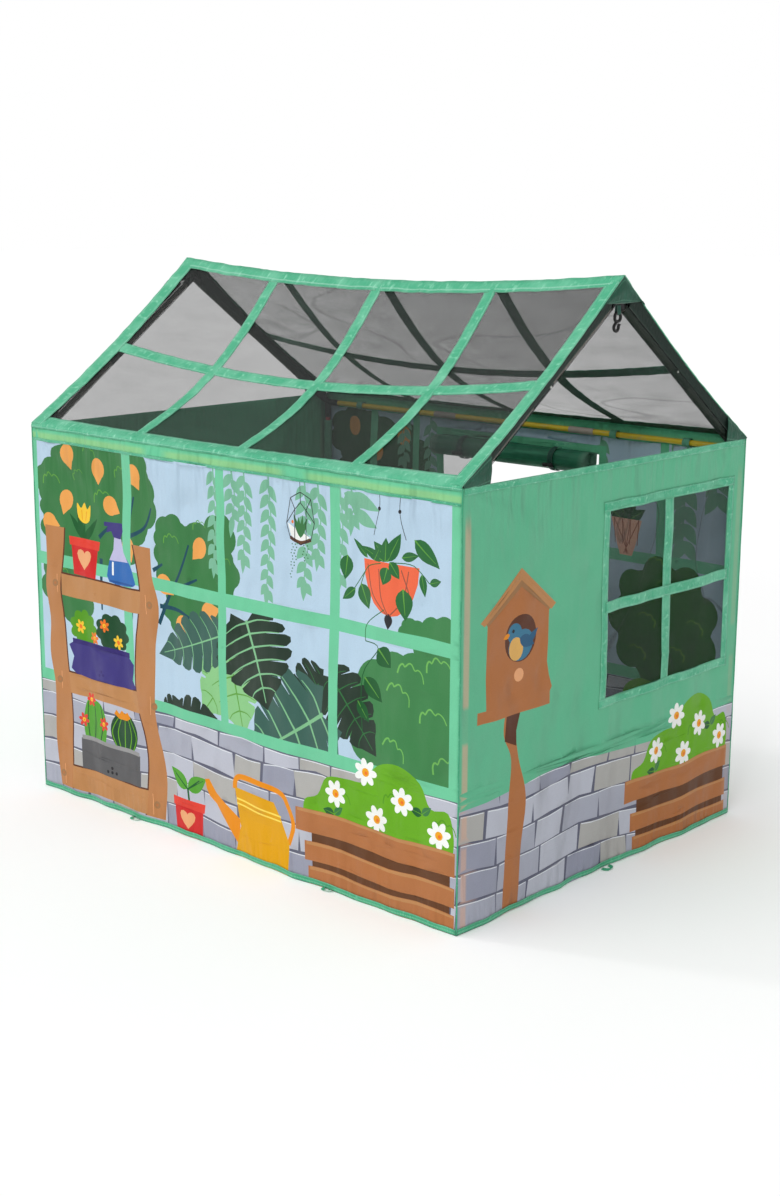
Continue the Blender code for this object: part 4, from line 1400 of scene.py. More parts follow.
def strip(name: str, place: Place, length: float, rows: int, across: int, facing: Vector,
        finishes: Sequence[Material], thickness: float = 0.0007, span: Pair = (0.0, 1.0)) -> Piece:
    """Sews one strip or sheet of cloth from a rule for its points.

    Args:
        name, place: the piece's name, and the rule that gives its point for a share along and one across.
        length, rows, across: its length in metres, and the cells along it and across it.
        facing, finishes: where its outer side looks, and its outer finish with the inner one if it differs.
        thickness, span: the cloth's thickness, and the shares across of its edges in its UV map.

    Returns:
        The piece.
    """
    points = [place(i / rows, j / across) for i in range(rows + 1) for j in range(across + 1)]
    width = across + 1
    faces = [(i * width + j, (i + 1) * width + j, (i + 1) * width + j + 1, i * width + j + 1)
        for i in range(rows) for j in range(across)]
    mesh = bpy.data.meshes.new(name)
    mesh.from_pydata(points, [], faces)
    middle = mesh.polygons[(rows // 2) * across + across // 2]
    if middle.normal.dot(facing) < 0:
        mesh.flip_normals()
    layer = mesh.uv_layers.new(name="UVMap")
    for corner in mesh.loops:
        i, j = divmod(corner.vertex_index, width)
        layer.data[corner.index].uv = (length * i / rows, span[0] + (span[1] - span[0]) * j / across)
    mesh.shade_smooth()
    piece = finish_cloth(mesh, name, thickness, 1 if len(finishes) > 1 else 0)
    piece.data.materials.clear()
    for finish in finishes:
        piece.data.materials.append(finish)
    return piece


def piping(name: str, path: Sequence[Vector], radius: float, finish: Material, sides: int = 10,
        closed: bool = False) -> Piece:
    """Makes a round cord along a path, from a bevelled curve turned into a mesh.

    Args:
        name, path, radius: the piece's name, the points of its middle line and half its thickness.
        finish, sides, closed: its material, the faces round it and whether it is a loop.

    Returns:
        The piece.
    """
    data = bpy.data.curves.new(name, "CURVE")
    data.dimensions = "3D"
    data.bevel_depth = radius
    data.bevel_resolution = max(0, sides // 2 - 2)
    data.use_fill_caps = not closed
    line = data.splines.new("POLY")
    line.points.add(len(path) - 1)
    for item, point in zip(line.points, path):
        item.co = (*point, 1.0)
    line.use_cyclic_u = closed
    link(name, data)
    bpy.ops.object.convert(target="MESH")
    piece = bpy.context.object
    piece.data.materials.clear()
    piece.data.materials.append(finish)
    piece.data.shade_smooth()
    return piece


def settle(piece: Piece, body: str = "tent") -> Piece:
    """Gives a finished piece its body, and reports it.

    Args:
        piece, body: the piece, and the body that it moves with.

    Returns:
        The piece.
    """
    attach(piece, body)
    LOG.info("%s: %d faces on %s", piece.name, len(piece.data.polygons), body)
    return piece


@dataclass
class Roof:
    """Two net slopes with their tapes, the gussets at the gables and the rafter sleeves."""

    finishes: Finishes
    ridge_sag: float = 0.026
    rake_sag: float = 0.012
    slope_sag: float = 0.028
    pane_sag: float = 0.0035
    ribs: tuple[float, ...] = (-0.275, 0.0, 0.275)
    rib_foot_shift: float = 0.034
    rib_bow: float = 0.012
    tape: float = 0.025
    tape_proud: float = 0.0013
    slope_length: float = 0.51
    rafter_x: float = 0.535
    rafter_apex: float = 1.008
    rafter_fall: float = 0.7314
    rafter_foot: float = 0.3965
    sleeve_radius: float = 0.0088

    def height(self, x: float, climb: float) -> float:
        """The slack roof's height.

        Args:
            x, climb: the place along the ridge, and the share of the way up from the eave.

        Returns:
            The height.
        """
        middle = 1 - (x / HALF_LENGTH) ** 2
        straight = EAVE_HEIGHT + (RIDGE_HEIGHT - EAVE_HEIGHT) * climb
        sag = (self.rake_sag + self.slope_sag * middle) * sin(pi * climb)
        return straight - self.ridge_sag * climb * middle - sag

    def surface(self, x: float, climb: float, side: int, proud: float = 0.0) -> Vector:
        """A point on a slope.

        Args:
            x, climb: the place along the ridge, and the share of the way up from the eave.
            side, proud: -1 for the front slope or 1 for the back one, and how far above the net.

        Returns:
            The point.
        """
        out = Vector((0.0, side * 0.602, 0.798))
        return Vector((x, side * HALF_WIDTH * (1 - climb), self.height(x, climb))) + out * proud

    def rib_x(self, rib: float, climb: float, side: int) -> float:
        """Where a cross rib runs at a height, since the cloth's slack draws its foot aside."""
        if side < 0:
            return rib + self.rib_foot_shift * (1 - climb) + self.rib_bow * sin(pi * climb)
        return rib - 1.4 * self.rib_bow * sin(pi * climb)

    def net(self, side: int) -> Piece:
        """Makes one slope's net, which hangs a little between its tapes.

        Args:
            side: -1 for the front slope, 1 for the back one.

        Returns:
            The net.
        """
        face = "front" if side < 0 else "back"
        columns, rows = 96, 44

        def place(t: float, s: float) -> Vector:
            """A point of the net from its shares along the ridge and up the slope."""
            x = -HALF_LENGTH + 2 * HALF_LENGTH * t
            pane = abs(sin(TAU * s)) * abs(sin(pi * (x - self.rib_foot_shift * (1 - s)) / 0.275))
            ripple = 0.0014 * drift(x * 14, s * 8, side * 3.0)
            held = min(1.0, 12 * min(t, 1 - t, s, 1 - s))
            return self.surface(x, s, side, (-self.pane_sag * pane + ripple) * held - 0.0004)

        finish = self.finishes.roof_net if side < 0 else self.finishes.roof_net_back
        piece = strip(f"roof_net_{face}", place, 2 * HALF_LENGTH, columns, rows, Vector((0, side, 1)),
            [finish], 0.0004)
        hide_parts(f"roof_{face}")
        return settle(piece, "tent")

    def band(self, name: str, place: Place, length: float, rows: int, facing: Vector) -> Piece:
        """Makes one two-sided tape with slightly wavy edges, whose inner side is coloured near-black green
        as painted shade.

        Args:
            name, place, length, rows: its name, the rule for its points, its length and the cells along it.
            facing: where its outer side looks.

        Returns:
            The tape.
        """
        seed = sum(ord(letter) for letter in name) * 0.37
        wander = 0.0009

        def wavy(t: float, s: float) -> Vector:
            """The rule's point, with a slight waver along the tape."""
            rise = wander * drift(t * length * 55, s * 2, seed)
            crown = 0.0008 * (1 - (2 * s - 1) ** 2)
            return place(t, s + 0.04 * drift(t * length * 26, seed, 0)) + facing * (rise + crown)

        # the inner side takes the near-black painted shade finish
        piece = strip(name, wavy, length, rows, 6, facing, [self.finishes.tape, self.finishes.tape_inner],
            0.0008)
        return settle(piece)

    def slope_tapes(self, side: int) -> list[Piece]:
        """Sews the eave, middle, rake and cross tapes of a slope.

        Args:
            side: -1 for the front slope, 1 for the back one.

        Returns:
            The tapes.
        """
        face = "front" if side < 0 else "back"
        out = Vector((0.0, side * 0.602, 0.798))
        share = self.tape / self.slope_length
        full = 2 * HALF_LENGTH
        proud = self.tape_proud

        def lengthways(low: float) -> Place:
            """The rule of a tape that runs along the tent from a given climb."""
            return lambda t, s: self.surface(-HALF_LENGTH + full * t, low + share * s, side, proud * 0.8)

        def eave(t: float, s: float) -> Vector:
            """A point of the eave tape, which turns down over the wall's top edge."""
            x = -HALF_LENGTH + full * t
            if s < 0.3:
                return Vector((x, side * (HALF_WIDTH + 0.0024), EAVE_HEIGHT - 0.007 * (1 - s / 0.3)))
            return self.surface(x, share * (s - 0.3) / 0.7, side, proud * 0.8)

        def crossways(rib: float) -> Place:
            """The rule of a cross rib."""
            return lambda t, s: self.surface(self.rib_x(rib, t, side) + self.tape * (s - 0.5), 0.01 + 0.98
                * t, side, proud)

        def rake(sign: int) -> Place:
            """The rule of the tape along one gable edge, wider where it is pulled over its pole."""
            width = self.tape + (0.008 if (side, sign) == (-1, -1) else 0.002)
            return lambda t, s: self.surface(sign * (HALF_LENGTH + 0.0008 - width * s), t, side, proud * 1.3)

        made = [self.band(f"eave_tape_{face}", eave, full, 150, out), self.band(f"middle_tape_{face}",
            lengthways(0.5 - share / 2), full, 150, out)]
        for number, rib in enumerate(self.ribs, 1):
            made.append(self.band(f"cross_rib_{face}_{number}", crossways(rib), self.slope_length, 80, out))
        for sign, end in ENDS:
            made.append(self.band(f"rake_tape_{face}_{end}", rake(sign), self.slope_length, 80, out))
        return made

    def ridge_tape(self) -> Piece:
        """Folds the ridge tape over the two slopes.

        Returns:
            The tape.
        """
        half = 0.025

        def place(t: float, s: float) -> Vector:
            """A point of the tape from the front edge to the back edge."""
            reach = (2 * s - 1) * half
            climb = 1 - abs(reach) * 0.8 / HALF_WIDTH
            x = -(HALF_LENGTH + 0.0008) * (1 - 2 * t)
            return self.surface(x, climb, -1 if reach < 0 else 1, self.tape_proud * 1.6)

        return self.band("ridge_tape", place, 2 * HALF_LENGTH, 150, UP)

    def gusset(self, name: str, sign: int, first: float, last: float, low: float) -> Piece:
        """Makes a dark green patch in a gable's plane, under the rake.

        Args:
            name, sign, low: its name, -1 for the left gable or 1 for the right one, and its lowest height.
            first, last: where it starts and ends across the tent.

        Returns:
            The patch.
        """
        def place(t: float, s: float) -> Vector:
            """A point of the patch, from its lower edge up to the rake."""
            y = first + (last - first) * t
            roof = self.height(HALF_LENGTH, 1 - abs(y) / HALF_WIDTH) + 0.0006
            sag = 0.0025 * sin(pi * t) + 0.001 * drift(y * 60, low * 9, 0)
            foot = min(low - sag, roof)
            bulge = 0.0022 * sin(pi * s) * (1 + drift(y * 45, s * 3, 5.0))
            return Vector((sign * (HALF_LENGTH + 0.0007 + bulge), y, foot + (roof - foot) * s))

        piece = strip(name, place, abs(last - first), 26, 10, Vector((sign, 0, 0)), [self.finishes.dark])
        return settle(piece, "tent")

    def sleeve(self, side: int, sign: int) -> Piece:
        """Hangs a net sleeve under the rake, round one rafter.

        Args:
            side, sign: -1 for front and left, 1 for back and right.

        Returns:
            The sleeve.
        """
        face, end = "front" if side < 0 else "back", "left" if sign < 0 else "right"
        radius = self.sleeve_radius

        def place(t: float, s: float) -> Vector:
            """A point of the sleeve: down its seam, round the pole and up again."""
            y = side * self.rafter_foot * (0.985 - 0.94 * t)
            axis = self.rafter_apex - self.rafter_fall * abs(y)
            roof = self.height(HALF_LENGTH, 1 - abs(y) / HALF_WIDTH) - 0.002
            loose = radius * (1 + 0.08 * drift(y * 22, s * 2, sign * 4.0 + side))
            turn = radians(80 - 340 * clamp((s - 0.2) / 0.6))
            across, z = loose * cos(turn), axis + loose * sin(turn)
            if s < 0.2 or s > 0.8:
                share = min(s, 1 - s) / 0.2
                across, z = across * (0.4 + 0.6 * share), roof + (z - roof) * share
            return Vector((sign * (self.rafter_x + across), y, z))

        finish = self.finishes.sleeve_front if side < 0 else self.finishes.sleeve_back
        piece = strip(f"rafter_sleeve_{face}_{end}", place, 0.49, 60, 30, Vector((0, 0, -1)), [finish],
            0.0004)
        return settle(piece, "tent")

    def facing(self, side: int, sign: int) -> Piece:
        """Sews a near-black sheet of painted shade from a rake tape's edge down to its rafter.

        Args:
            side, sign: -1 for front and left, 1 for back and right.

        Returns:
            The sheet.
        """
        face, end = "front" if side < 0 else "back", "left" if sign < 0 else "right"

        def place(t: float, s: float) -> Vector:
            """A point of the sheet, from the rake down to the pole's outer side."""
            y = side * self.rafter_foot * (0.965 - 0.9 * t)
            axis = self.rafter_apex - self.rafter_fall * abs(y)
            roof = self.height(HALF_LENGTH, 1 - abs(y) / HALF_WIDTH) - 0.0004
            foot = axis + 0.0042 + 0.0008 * drift(y * 40, sign, side)
            return Vector((sign * (HALF_LENGTH - 0.0004 - 0.0052 * s), y, roof + (foot - roof) * s))

        piece = strip(f"rake_shade_sheet_{face}_{end}", place, 0.47, 60, 4, Vector((sign, 0, 0)),
            [self.finishes.tape_inner], 0.0005)
        return settle(piece, "tent")

    def build(self) -> None:
        """Makes the whole roof."""
        sewn: dict = {}
        for side in (-1, 1):
            net = self.net(side)
            tapes = self.slope_tapes(side)
            if side < 0:
                tapes.append(self.ridge_tape())
            face = "front" if side < 0 else "back"
            sewn[face] = (net, tapes)
        for sign, end in ENDS:
            sewn["front"][1].append(self.gusset(f"apex_gusset_{end}", sign, -0.064, 0.058, 1.0032))
            for side, face in SIDES:
                foot = side * (HALF_WIDTH - 0.0005)
                sewn[face][1].append(self.gusset(f"eave_gusset_{face}_{end}", sign, foot, foot - side
                    * 0.066, WALL_TOP - 0.001))
                sewn[face][1].append(self.sleeve(side, sign))
                # under each rake, a near-black sheet of painted shade
                sewn[face][1].append(self.facing(side, sign))


@dataclass
class Trim:
    """What is sewn to the walls: bindings, hems, corner piping, window cross, pockets and loops."""

    walls: list[Wall]
    finishes: Finishes
    window: tuple[float, float, float, float]
    door: tuple[float, float, float]
    binding: float = 0.011
    made: dict[str, list[Piece]] = field(default_factory=dict)

    def patch(self, wall: Wall, name: str, low: Pair, high: Pair, upright: bool, finish: Material,
            proud: float = 0.0009) -> Piece:
        """Sews a flat strip on the outer side of a wall.

        Args:
            wall, name, low, high: the wall, the strip's name, and its lower left and upper right corners.
            upright, finish: whether it runs up the wall, and its material.
            proud: how far in front of the wall it lies.

        Returns:
            The strip.
        """
        du, dz = high[0] - low[0], high[1] - low[1]

        def place(t: float, s: float) -> Vector:
            """A point of the strip."""
            a, b = (s, t) if upright else (t, s)
            return wall.point(low[0] + du * a, low[1] + dz * b, proud)

        length = dz if upright else du
        piece = strip(name, place, length, max(4, round(length / 0.0075)), 5, wall.outward, [finish])
        self.made.setdefault(wall.name, []).append(piece)
        return settle(piece, "tent")

    def bound_edge(self, wall: Wall, name: str, start: float, stop: float) -> None:
        """Folds a binding round a stretch of a wall's bottom edge.

        Args:
            wall, name: the wall, and the binding's name.
            start, stop: where it starts and stops across the wall.
        """
        def place(t: float, s: float) -> Vector:
            """A point of the binding, from its outer edge round to its inner one."""
            u = start + (stop - start) * t
            waver = 1 + 0.16 * drift(u * 30, wall.seed, 2.0)
            rise = abs(2 * s - 1) ** 1.1 * self.binding * waver
            depth = 0.0018 * cos(pi * clamp((s - 0.35) / 0.3))
            point = wall.point(u, 0.0004 + rise, depth)
            point.z = max(point.z, 0.0008)
            return point

        piece = strip(name, place, stop - start, round((stop - start) / 0.008), 12, -UP,
            [self.finishes.binding], 0.0005, (0.0, 0.5))
        self.made.setdefault(wall.name, []).append(piece)
        settle(piece)

    def peg_loop(self, wall: Wall, name: str, u: float) -> None:
        """Sews a small flat loop for a ground peg under a wall's edge.

        Args:
            wall, name, u: the wall, the loop's name and its place across the wall.
        """
        def place(t: float, s: float) -> Vector:
            """A point of the loop, out along the floor and back."""
            turn = pi * t
            reach = wall.outward * (0.013 * sin(turn))
            aside = wall.along * (0.01 * cos(turn) + 0.0045 * (s - 0.5) * (1 + sin(turn)))
            return wall.origin + wall.along * u + aside + reach + UP * (0.0016 + 0.0022 * s)

        piece = strip(name, place, 0.03, 20, 4, UP, [self.finishes.binding], 0.0008)
        self.made.setdefault(wall.name, []).append(piece)
        settle(piece)

    def corner(self, wall: Wall, name: str) -> None:
        """Sets piping down the seam at a wall's first corner, and a pocket round the post behind it.

        Args:
            wall, name: the wall whose left edge is at the corner, and the corner's name.
        """
        foot = wall.origin
        path = [foot + Vector((0.0006 * drift(k * 0.4, wall.seed, 0), 0.0006 * drift(k * 0.4, wall.seed, 7),
            0.002 + k * 0.0204)) for k in range(37)]
        settle(piping(f"corner_piping_{name}", path, 0.0013, self.finishes.binding), "tent")
        post = Vector((copysign(0.535, foot.x), copysign(0.3965, foot.y), 0.0))
        outer, inner = Vector((copysign(1, foot.x), 0, 0)), Vector((0, copysign(1, foot.y), 0))

        def place(t: float, s: float) -> Vector:
            """A point of the pocket, from one wall round the post to the other."""
            turn = radians(-100 + 290 * (s - 0.5) * 0.93 - 35)
            radius = 0.0092 + 0.0006 * drift(t * 30, s * 3, wall.seed)
            return post + outer * (radius * cos(turn)) + inner * (radius * sin(turn) * 0.94) + UP * (0.022
                + 0.655 * t)

        pocket = strip(f"post_pocket_{name}", place, 0.65, 70, 18, -(outer + inner), [self.finishes.pocket],
            0.0005)
        settle(pocket)

    def window_trim(self, wall: Wall) -> None:
        """Adds the net, the stitched hems and the cross of the window.

        Args:
            wall: the window's wall.
        """
        left, right, low, high = self.window
        lap = 0.008

        def place(t: float, s: float) -> Vector:
            """A point of the net, just behind the wall."""
            slack = 0.003 * drift(t * 4, s * 4, 3.0) * min(1.0, 8 * min(t, 1 - t, s, 1 - s))
            return wall.point(left - lap + (right - left + 2 * lap) * t, low - lap + (high - low + 2 * lap)
                * s, -0.0012 + slack - abs(slack))

        net = strip("window_net", place, right - left, 56, 52, wall.outward, [self.finishes.window_net],
            0.0004)
        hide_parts("window_mesh")
        settle(net, "tent")
        hem = 0.017
        finish = self.finishes.tape
        middle_u, middle_z = left + (right - left) * 0.487, low + (high - low) * 0.492
        lap_in = 0.006
        near, far, foot, head = left - hem, right + hem, low - hem, high + hem
        for name, first, last, upright, proud in (("hem_left", (near, foot), (left, head), True, 0.0009),
                ("hem_right", (right, foot), (far, head), True, 0.0009), ("hem_bottom", (near, foot),
                (far, low), False, 0.0015), ("hem_top", (near, high), (far, head), False, 0.0015),
                ("bar_upright", (middle_u - 0.013, low - lap_in), (middle_u + 0.013, high + lap_in), True,
                0.0012), ("bar_level", (left - lap_in, middle_z - 0.01), (right + lap_in, middle_z + 0.01),
                False, 0.0021)):
            self.patch(wall, f"window_{name}", first, last, upright, finish, proud)

    def doorway(self, wall: Wall) -> None:
        """Hems the three sides of the doorway.

        Args:
            wall: the back wall.
        """
        left, right, top = self.door
        finish = self.finishes.tape
        self.patch(wall, "door_hem_left", (left - 0.016, 0.0115), (left - 0.0004, top), True, finish)
        self.patch(wall, "door_hem_right", (right + 0.0004, 0.0115), (right + 0.016, top), True, finish)
        self.patch(wall, "door_hem_top", (left - 0.016, top + 0.0004), (right + 0.016, top + 0.018), False,
            finish, 0.0015)

    def rail_ties(self) -> None:
        """Loops short tapes round the eave rails and sews them to the wall tops."""
        low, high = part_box("eave_rail_front_middle")
        height, reach = (low.z + high.z) / 2, abs(low.y + high.y) / 2
        for side, face in SIDES:
            for number, x in enumerate((-0.43, -0.26, 0.0, 0.26, 0.43), 1):
                def place(t: float, s: float, x: float = x, side: int = side) -> Vector:
                    """A point of the loop round the rail."""
                    turn = radians(-58 + 296 * t)
                    return Vector((x + 0.016 * (s - 0.5), side * (reach - 0.0086 * sin(turn)), height
                        - 0.0086 * cos(turn)))

                tie = strip(f"rail_tie_{face}_{number}", place, 0.05, 22, 4, Vector((0, -side, 0)),
                    [self.finishes.pocket], 0.0006)
                settle(tie)

    def build(self) -> None:
        """Sews everything on."""
        front, back, right, left = self.walls
        for wall, title in ((front, "front"), (right, "right_end"), (left, "left_end")):
            self.bound_edge(wall, f"binding_{title}", 0.001, wall.width - 0.001)
        self.bound_edge(back, "binding_back_right", 0.001, self.door[0] - 0.001)
        self.bound_edge(back, "binding_back_left", self.door[1] + 0.001, back.width - 0.001)
        for wall, title in ((right, "right_end"), (left, "left_end")):
            self.patch(wall, f"top_hem_{title}", (0.004, WALL_TOP - 0.0125),
                (wall.width - 0.004, WALL_TOP - 0.0002), False, self.finishes.tape)
        for wall, title in ((front, "front"), (back, "back")):
            self.patch(wall, f"rail_pocket_seam_{title}", (0.002, 0.7075), (wall.width - 0.002, 0.7125),
                False, self.finishes.tape)
        for wall, name in ((front, "front_left"), (right, "front_right"), (back, "back_right"),
                (left, "back_left")):
            self.corner(wall, name)
        self.window_trim(right)
        self.doorway(back)
        self.rail_ties()
        for wall, places in ((front, (0.29, 0.81)), (back, (0.16, 0.94)), (right, (0.41,)), (left, (0.41,))):
            for number, u in enumerate(places, 1):
                self.peg_loop(wall, f"peg_loop_{wall.name.removesuffix('_cloth')}_{number}", u)


@dataclass
class Door:
    """The door flap rolled up over the doorway, with its header, ties and toggles."""

    finishes: Finishes
    pitch: float = 0.0026
    turns: float = 6.6
    flat_drop: float = 0.66
    header_top: float = 0.676

    def roll(self) -> Piece:
        """Winds the flap into a real spiral.

        Returns:
            The rolled flap.
        """
        low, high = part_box("door_roll")
        middle = (low + high) / 2
        outer = (high.z - low.z) / 2 - 0.0006

        def place(t: float, s: float) -> Vector:
            """A point of the cloth from its inner end to its outer one, and across the door."""
            turn = -TAU * self.turns * (1 - t)
            radius = outer + self.pitch * turn / TAU
            x = low.x + 0.001 + (high.x - low.x - 0.002) * s
            slack = 0.0009 * drift(x * 16, cos(turn) * 1.6, sin(turn) * 1.6)
            radius += slack * smoothstep(0.0, 0.3, t) - 0.0012
            stagger = 0.0022 * drift(t * 9, s, 3.0)
            return Vector((x + stagger, middle.y + radius * cos(turn), middle.z + radius * sin(turn)))

        piece = strip("door_flap_roll", place, self.flat_drop, 210, 30, Vector((0, 1, 0)),
            [self.finishes.door], 0.0005)
        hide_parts("door_roll")
        settle(piece, "door")
        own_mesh(piece)
        return piece

    def flap(self) -> Piece:
        """Makes the stretch of flap from the header seam to the roll.

        Returns:
            The stretch.
        """
        low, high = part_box("door_roll")
        foot = (low.z + high.z) / 2

        def place(t: float, s: float) -> Vector:
            """A point of the stretch, from the header down to the roll."""
            x = low.x + 0.001 + (high.x - low.x - 0.002) * s
            return Vector((x, high.y - 0.0016 + 0.0008 * (1 - t), self.header_top + (foot - self.header_top)
                * t))

        piece = strip("door_flap_top", place, self.header_top - foot, 28, 30, Vector((0, 1, 0)),
            [self.finishes.door], 0.0005)
        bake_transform(piece)
        LOG.info("%s: %d faces between tent and door", piece.name, len(piece.data.polygons))
        return piece

    def tie(self, end: str) -> Piece:
        """Loops a tie tape round the roll beside a toggle.

        Args:
            end: left or right.

        Returns:
            The tape.
        """
        low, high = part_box(f"door_toggle_{end}")
        x = (low.x + high.x) / 2
        roll_low, roll_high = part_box("door_roll")
        middle = (roll_low + roll_high) / 2
        radius = (roll_high.z - roll_low.z) / 2 + 0.0009

        def place(t: float, s: float) -> Vector:
            """A point of the tape round the roll, from the header's seam back up to it."""
            turn = radians(68 + 298 * t)
            return Vector((x + 0.012 * (s - 0.5), middle.y + radius * cos(turn), middle.z + radius
                * sin(turn)))

        piece = strip(f"door_tie_{end}", place, 0.12, 44, 4, Vector((0, -1, 0)), [self.finishes.webbing],
            0.0008)
        settle(piece, "tent")
        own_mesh(piece)
        return piece

    def build(self) -> None:
        """Makes the whole door."""
        roll = self.roll()
        made = [self.flap(), self.tie("left"), self.tie("right")]


@dataclass
class Hook:
    """The plastic hook that hangs from the right apex by a loop of webbing."""

    finishes: Finishes
    place: Vector = field(default_factory=lambda: Vector((0.5462, -0.0097, 0.9786)))
    eye_half_width: float = 0.008
    eye_half_height: float = 0.007
    squareness: float = 2.6
    wire: float = 0.0027
    strap_top: float = 0.9985
    strap_width: float = 0.009
    grain: float = 0.00032

    def eye(self) -> list[Vector]:
        """The middle line of the squarish eye.

        Returns:
            Its points.
        """
        line = []
        for step in range(40):
            across, up = cos(TAU * step / 40), sin(TAU * step / 40)
            power = 2 / self.squareness
            line.append(self.place + Vector((0, copysign(abs(across) ** power, across) * self.eye_half_width,
                copysign(abs(up) ** power, up) * self.eye_half_height)))
        return line

    def claw(self) -> list[Vector]:
        """The middle line of the neck and the open claw.

        Returns:
            Its points.
        """
        radius = 0.0065
        line = [Vector((0, -0.001, -self.eye_half_height)), Vector((0, -0.004, -0.0088)),
            Vector((0, -0.007, -0.0115))]
        for step in range(25):
            turn = radians(160 + 210 * step / 24)
            line.append(Vector((0, -0.0035 + radius * cos(turn), -0.0165 + radius * sin(turn))))
        line.append(Vector((0, 0.005, -0.012)))
        return [self.place + point for point in line]

    def body(self) -> Piece:
        """Fuses the eye and the claw into one moulded hook.

        Returns:
            The hook.
        """
        eye = piping("moulded_hook", self.eye(), self.wire, self.finishes.plastic, 16, closed=True)
        claw = piping("claw", self.claw(), self.wire, self.finishes.plastic, 16)
        tip = piping("claw_tip", [self.claw()[-1] + Vector((0, 0.0, z)) for z in (-0.0012, -0.0004, 0.0004)],
            self.wire * 1.25, self.finishes.plastic, 16)
        bpy.ops.object.select_all(action="DESELECT")
        for part in (claw, tip, eye):
            part.select_set(True)
        bpy.context.view_layer.objects.active = eye
        bpy.ops.object.join()
        hook = bpy.context.object
        apply_modifier(hook, "REMESH", mode="VOXEL", voxel_size=self.grain)
        apply_modifier(hook, "SMOOTH", iterations=4)
        hook.data.shade_smooth()
        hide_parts("hanging_hook")
        return settle(hook, "hook")

    def strap(self) -> Piece:
        """Loops the webbing from the seam round the eye's top bar, slightly twisted.

        Returns:
            The loop.
        """
        bar = self.place.z + self.eye_half_height
        radius = self.wire + 0.0006
        rise = self.strap_top - bar

        def place(t: float, s: float) -> Vector:
            """A point of the loop: down the outer run, round the bar and up the inner run."""
            if t < 0.4:
                offset, z = radius, self.strap_top - rise * t / 0.4
            elif t > 0.6:
                offset, z = -radius, bar + rise * (t - 0.6) / 0.4
            else:
                turn = pi * (t - 0.4) / 0.2
                offset, z = radius * cos(turn), bar - radius * sin(turn)
            height = (z - bar) / rise
            width = self.strap_width * (1 - 0.12 * sin(pi * clamp(height)))
            twist = 0.45 * sin(pi * clamp(height))
            reach = width * (s - 0.5)
            return Vector((self.place.x + offset * (1 - 0.35 * max(0, height)) + reach * sin(twist) * 0.5,
                self.place.y + reach * cos(twist), z))

        piece = strip("webbing_loop", place, 2 * rise, 48, 6, Vector((0, 0, -1)), [self.finishes.webbing],
            0.0009)
        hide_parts("hook_strap")
        return settle(piece, "strap")

    def build(self) -> None:
        """Makes the hook and its loop."""
        self.body()
        self.strap()


class PoleFinish(Enum):
    """Which finish each family of pole pieces takes, by the start of its name."""

    POST_FERRULE = ("post_ferrule", "ferrule")
    RAIL_FERRULE = ("rail_ferrule", "grey_pole")
    RAFTER_FERRULE = ("rafter_ferrule", "ferrule")
    POST = ("post_", "red_pole")
    EAVE_RAIL = ("eave_rail", "yellow_pole")
    RAFTER = ("rafter_", "grey_pole")
    BUTTON = ("snap_button", "steel")
    FOOT_CAP = ("foot_cap", "plastic")
    CORNER_HUB = ("corner_hub", "plastic")
    APEX_ELBOW = ("apex_elbow", "plastic")
    TOGGLE = ("door_toggle", "plastic")


def dress_frame(finishes: Finishes) -> None:
    """Gives every pole, ferrule, hub, cap, button and toggle its finish.

    Args:
        finishes: the tent's materials.
    """
    for name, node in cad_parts.items():
        found = [kind for kind in PoleFinish if name.startswith(kind.value[0])]
        if found:
            node.data.materials.clear()
            node.data.materials.append(getattr(finishes, found[0].value[1]))
            LOG.info("%s: %s", name, found[0].value[1])


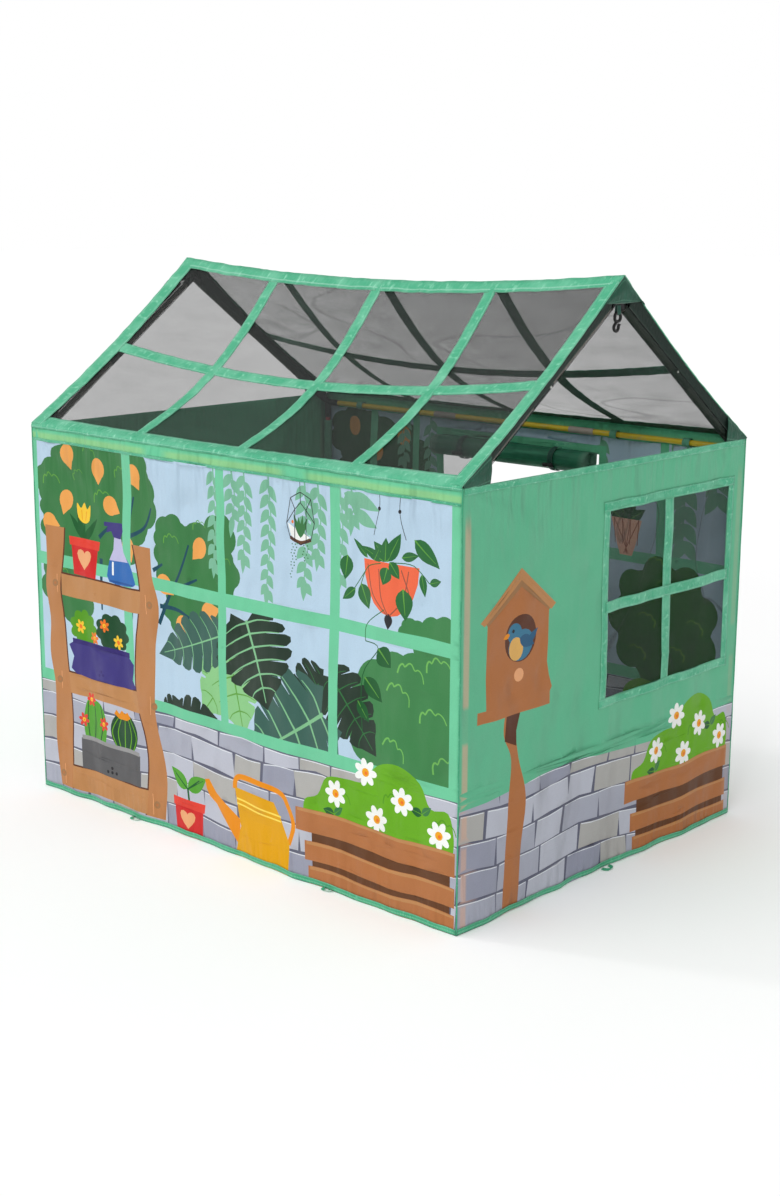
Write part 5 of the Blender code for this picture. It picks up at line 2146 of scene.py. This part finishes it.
def wall_set() -> list[Wall]:
    """The four walls with their sizes read from the frame.

    Returns:
        The front, back, right end and left end walls.
    """
    net_low, net_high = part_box("window_mesh")
    overlap = 0.008
    roll_low, roll_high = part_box("door_roll")
    length, width = 2 * HALF_LENGTH, 2 * HALF_WIDTH
    window = (net_low.y + HALF_WIDTH + overlap, net_high.y + HALF_WIDTH - overlap, net_low.z + overlap,
        net_high.z - overlap)
    door = (HALF_LENGTH - roll_high.x, HALF_LENGTH - roll_low.x, 0.672)
    rails = (length / 2 - 0.18, length / 2 + 0.18)
    return [FrontWall("front_wall_cloth", "wall_front", Vector((-HALF_LENGTH, -HALF_WIDTH, 0)),
        Vector((1, 0, 0)), length, 1.3, (0.36, 0.73), rail_gaps=rails),
        BackWall("back_wall_cloth", "wall_back", Vector((HALF_LENGTH, HALF_WIDTH, 0)), Vector((-1, 0, 0)),
        length, 4.1, (0.27, 0.86), rail_gaps=rails, door=door), RightEnd("right_end_cloth", "wall_right_end",
        Vector((HALF_LENGTH, -HALF_WIDTH, 0)), Vector((0, 1, 0)), width, 7.7, (0.28, 0.8),
        post_glow=(0.62, 0.16), window=window), LeftEnd("left_end_cloth", "wall_left_end",
        Vector((-HALF_LENGTH, HALF_WIDTH, 0)), Vector((0, -1, 0)), width, 9.2, (0.28, 0.55),
        post_glow=(0.16, 0.5)),]


def build_walls(walls: Sequence[Wall], finishes: Finishes) -> dict[str, Piece]:
    """Cuts and hangs the four walls.

    Args:
        walls, finishes: the walls, and the tent's materials.

    Returns:
        Each wall's sheet by name.
    """
    made = {}
    for wall in walls:
        piece = wall.build()
        piece.data.materials.append(finishes.cloth)
        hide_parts(wall.node)
        made[wall.name] = settle(piece)
    return made


def main() -> None:
    """Builds the tent's classes in order, reports each piece and sets up the studio."""
    logging.basicConfig(level=logging.INFO, format="%(name)s: %(message)s")
    finishes = Finishes()
    studio = Studio()
    studio.build()
    dress_frame(finishes)
    walls = wall_set()
    sheets = build_walls(walls, finishes)
    trim = Trim(walls, finishes, walls[2].window, walls[1].door)
    trim.build()
    for wall in walls:
        wall.width * wall.height - wall.opening
        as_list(trim.made[wall.name])
    Roof(finishes).build()
    Door(finishes).build()
    Hook(finishes).build()


if __name__ == "__main__":
    main()
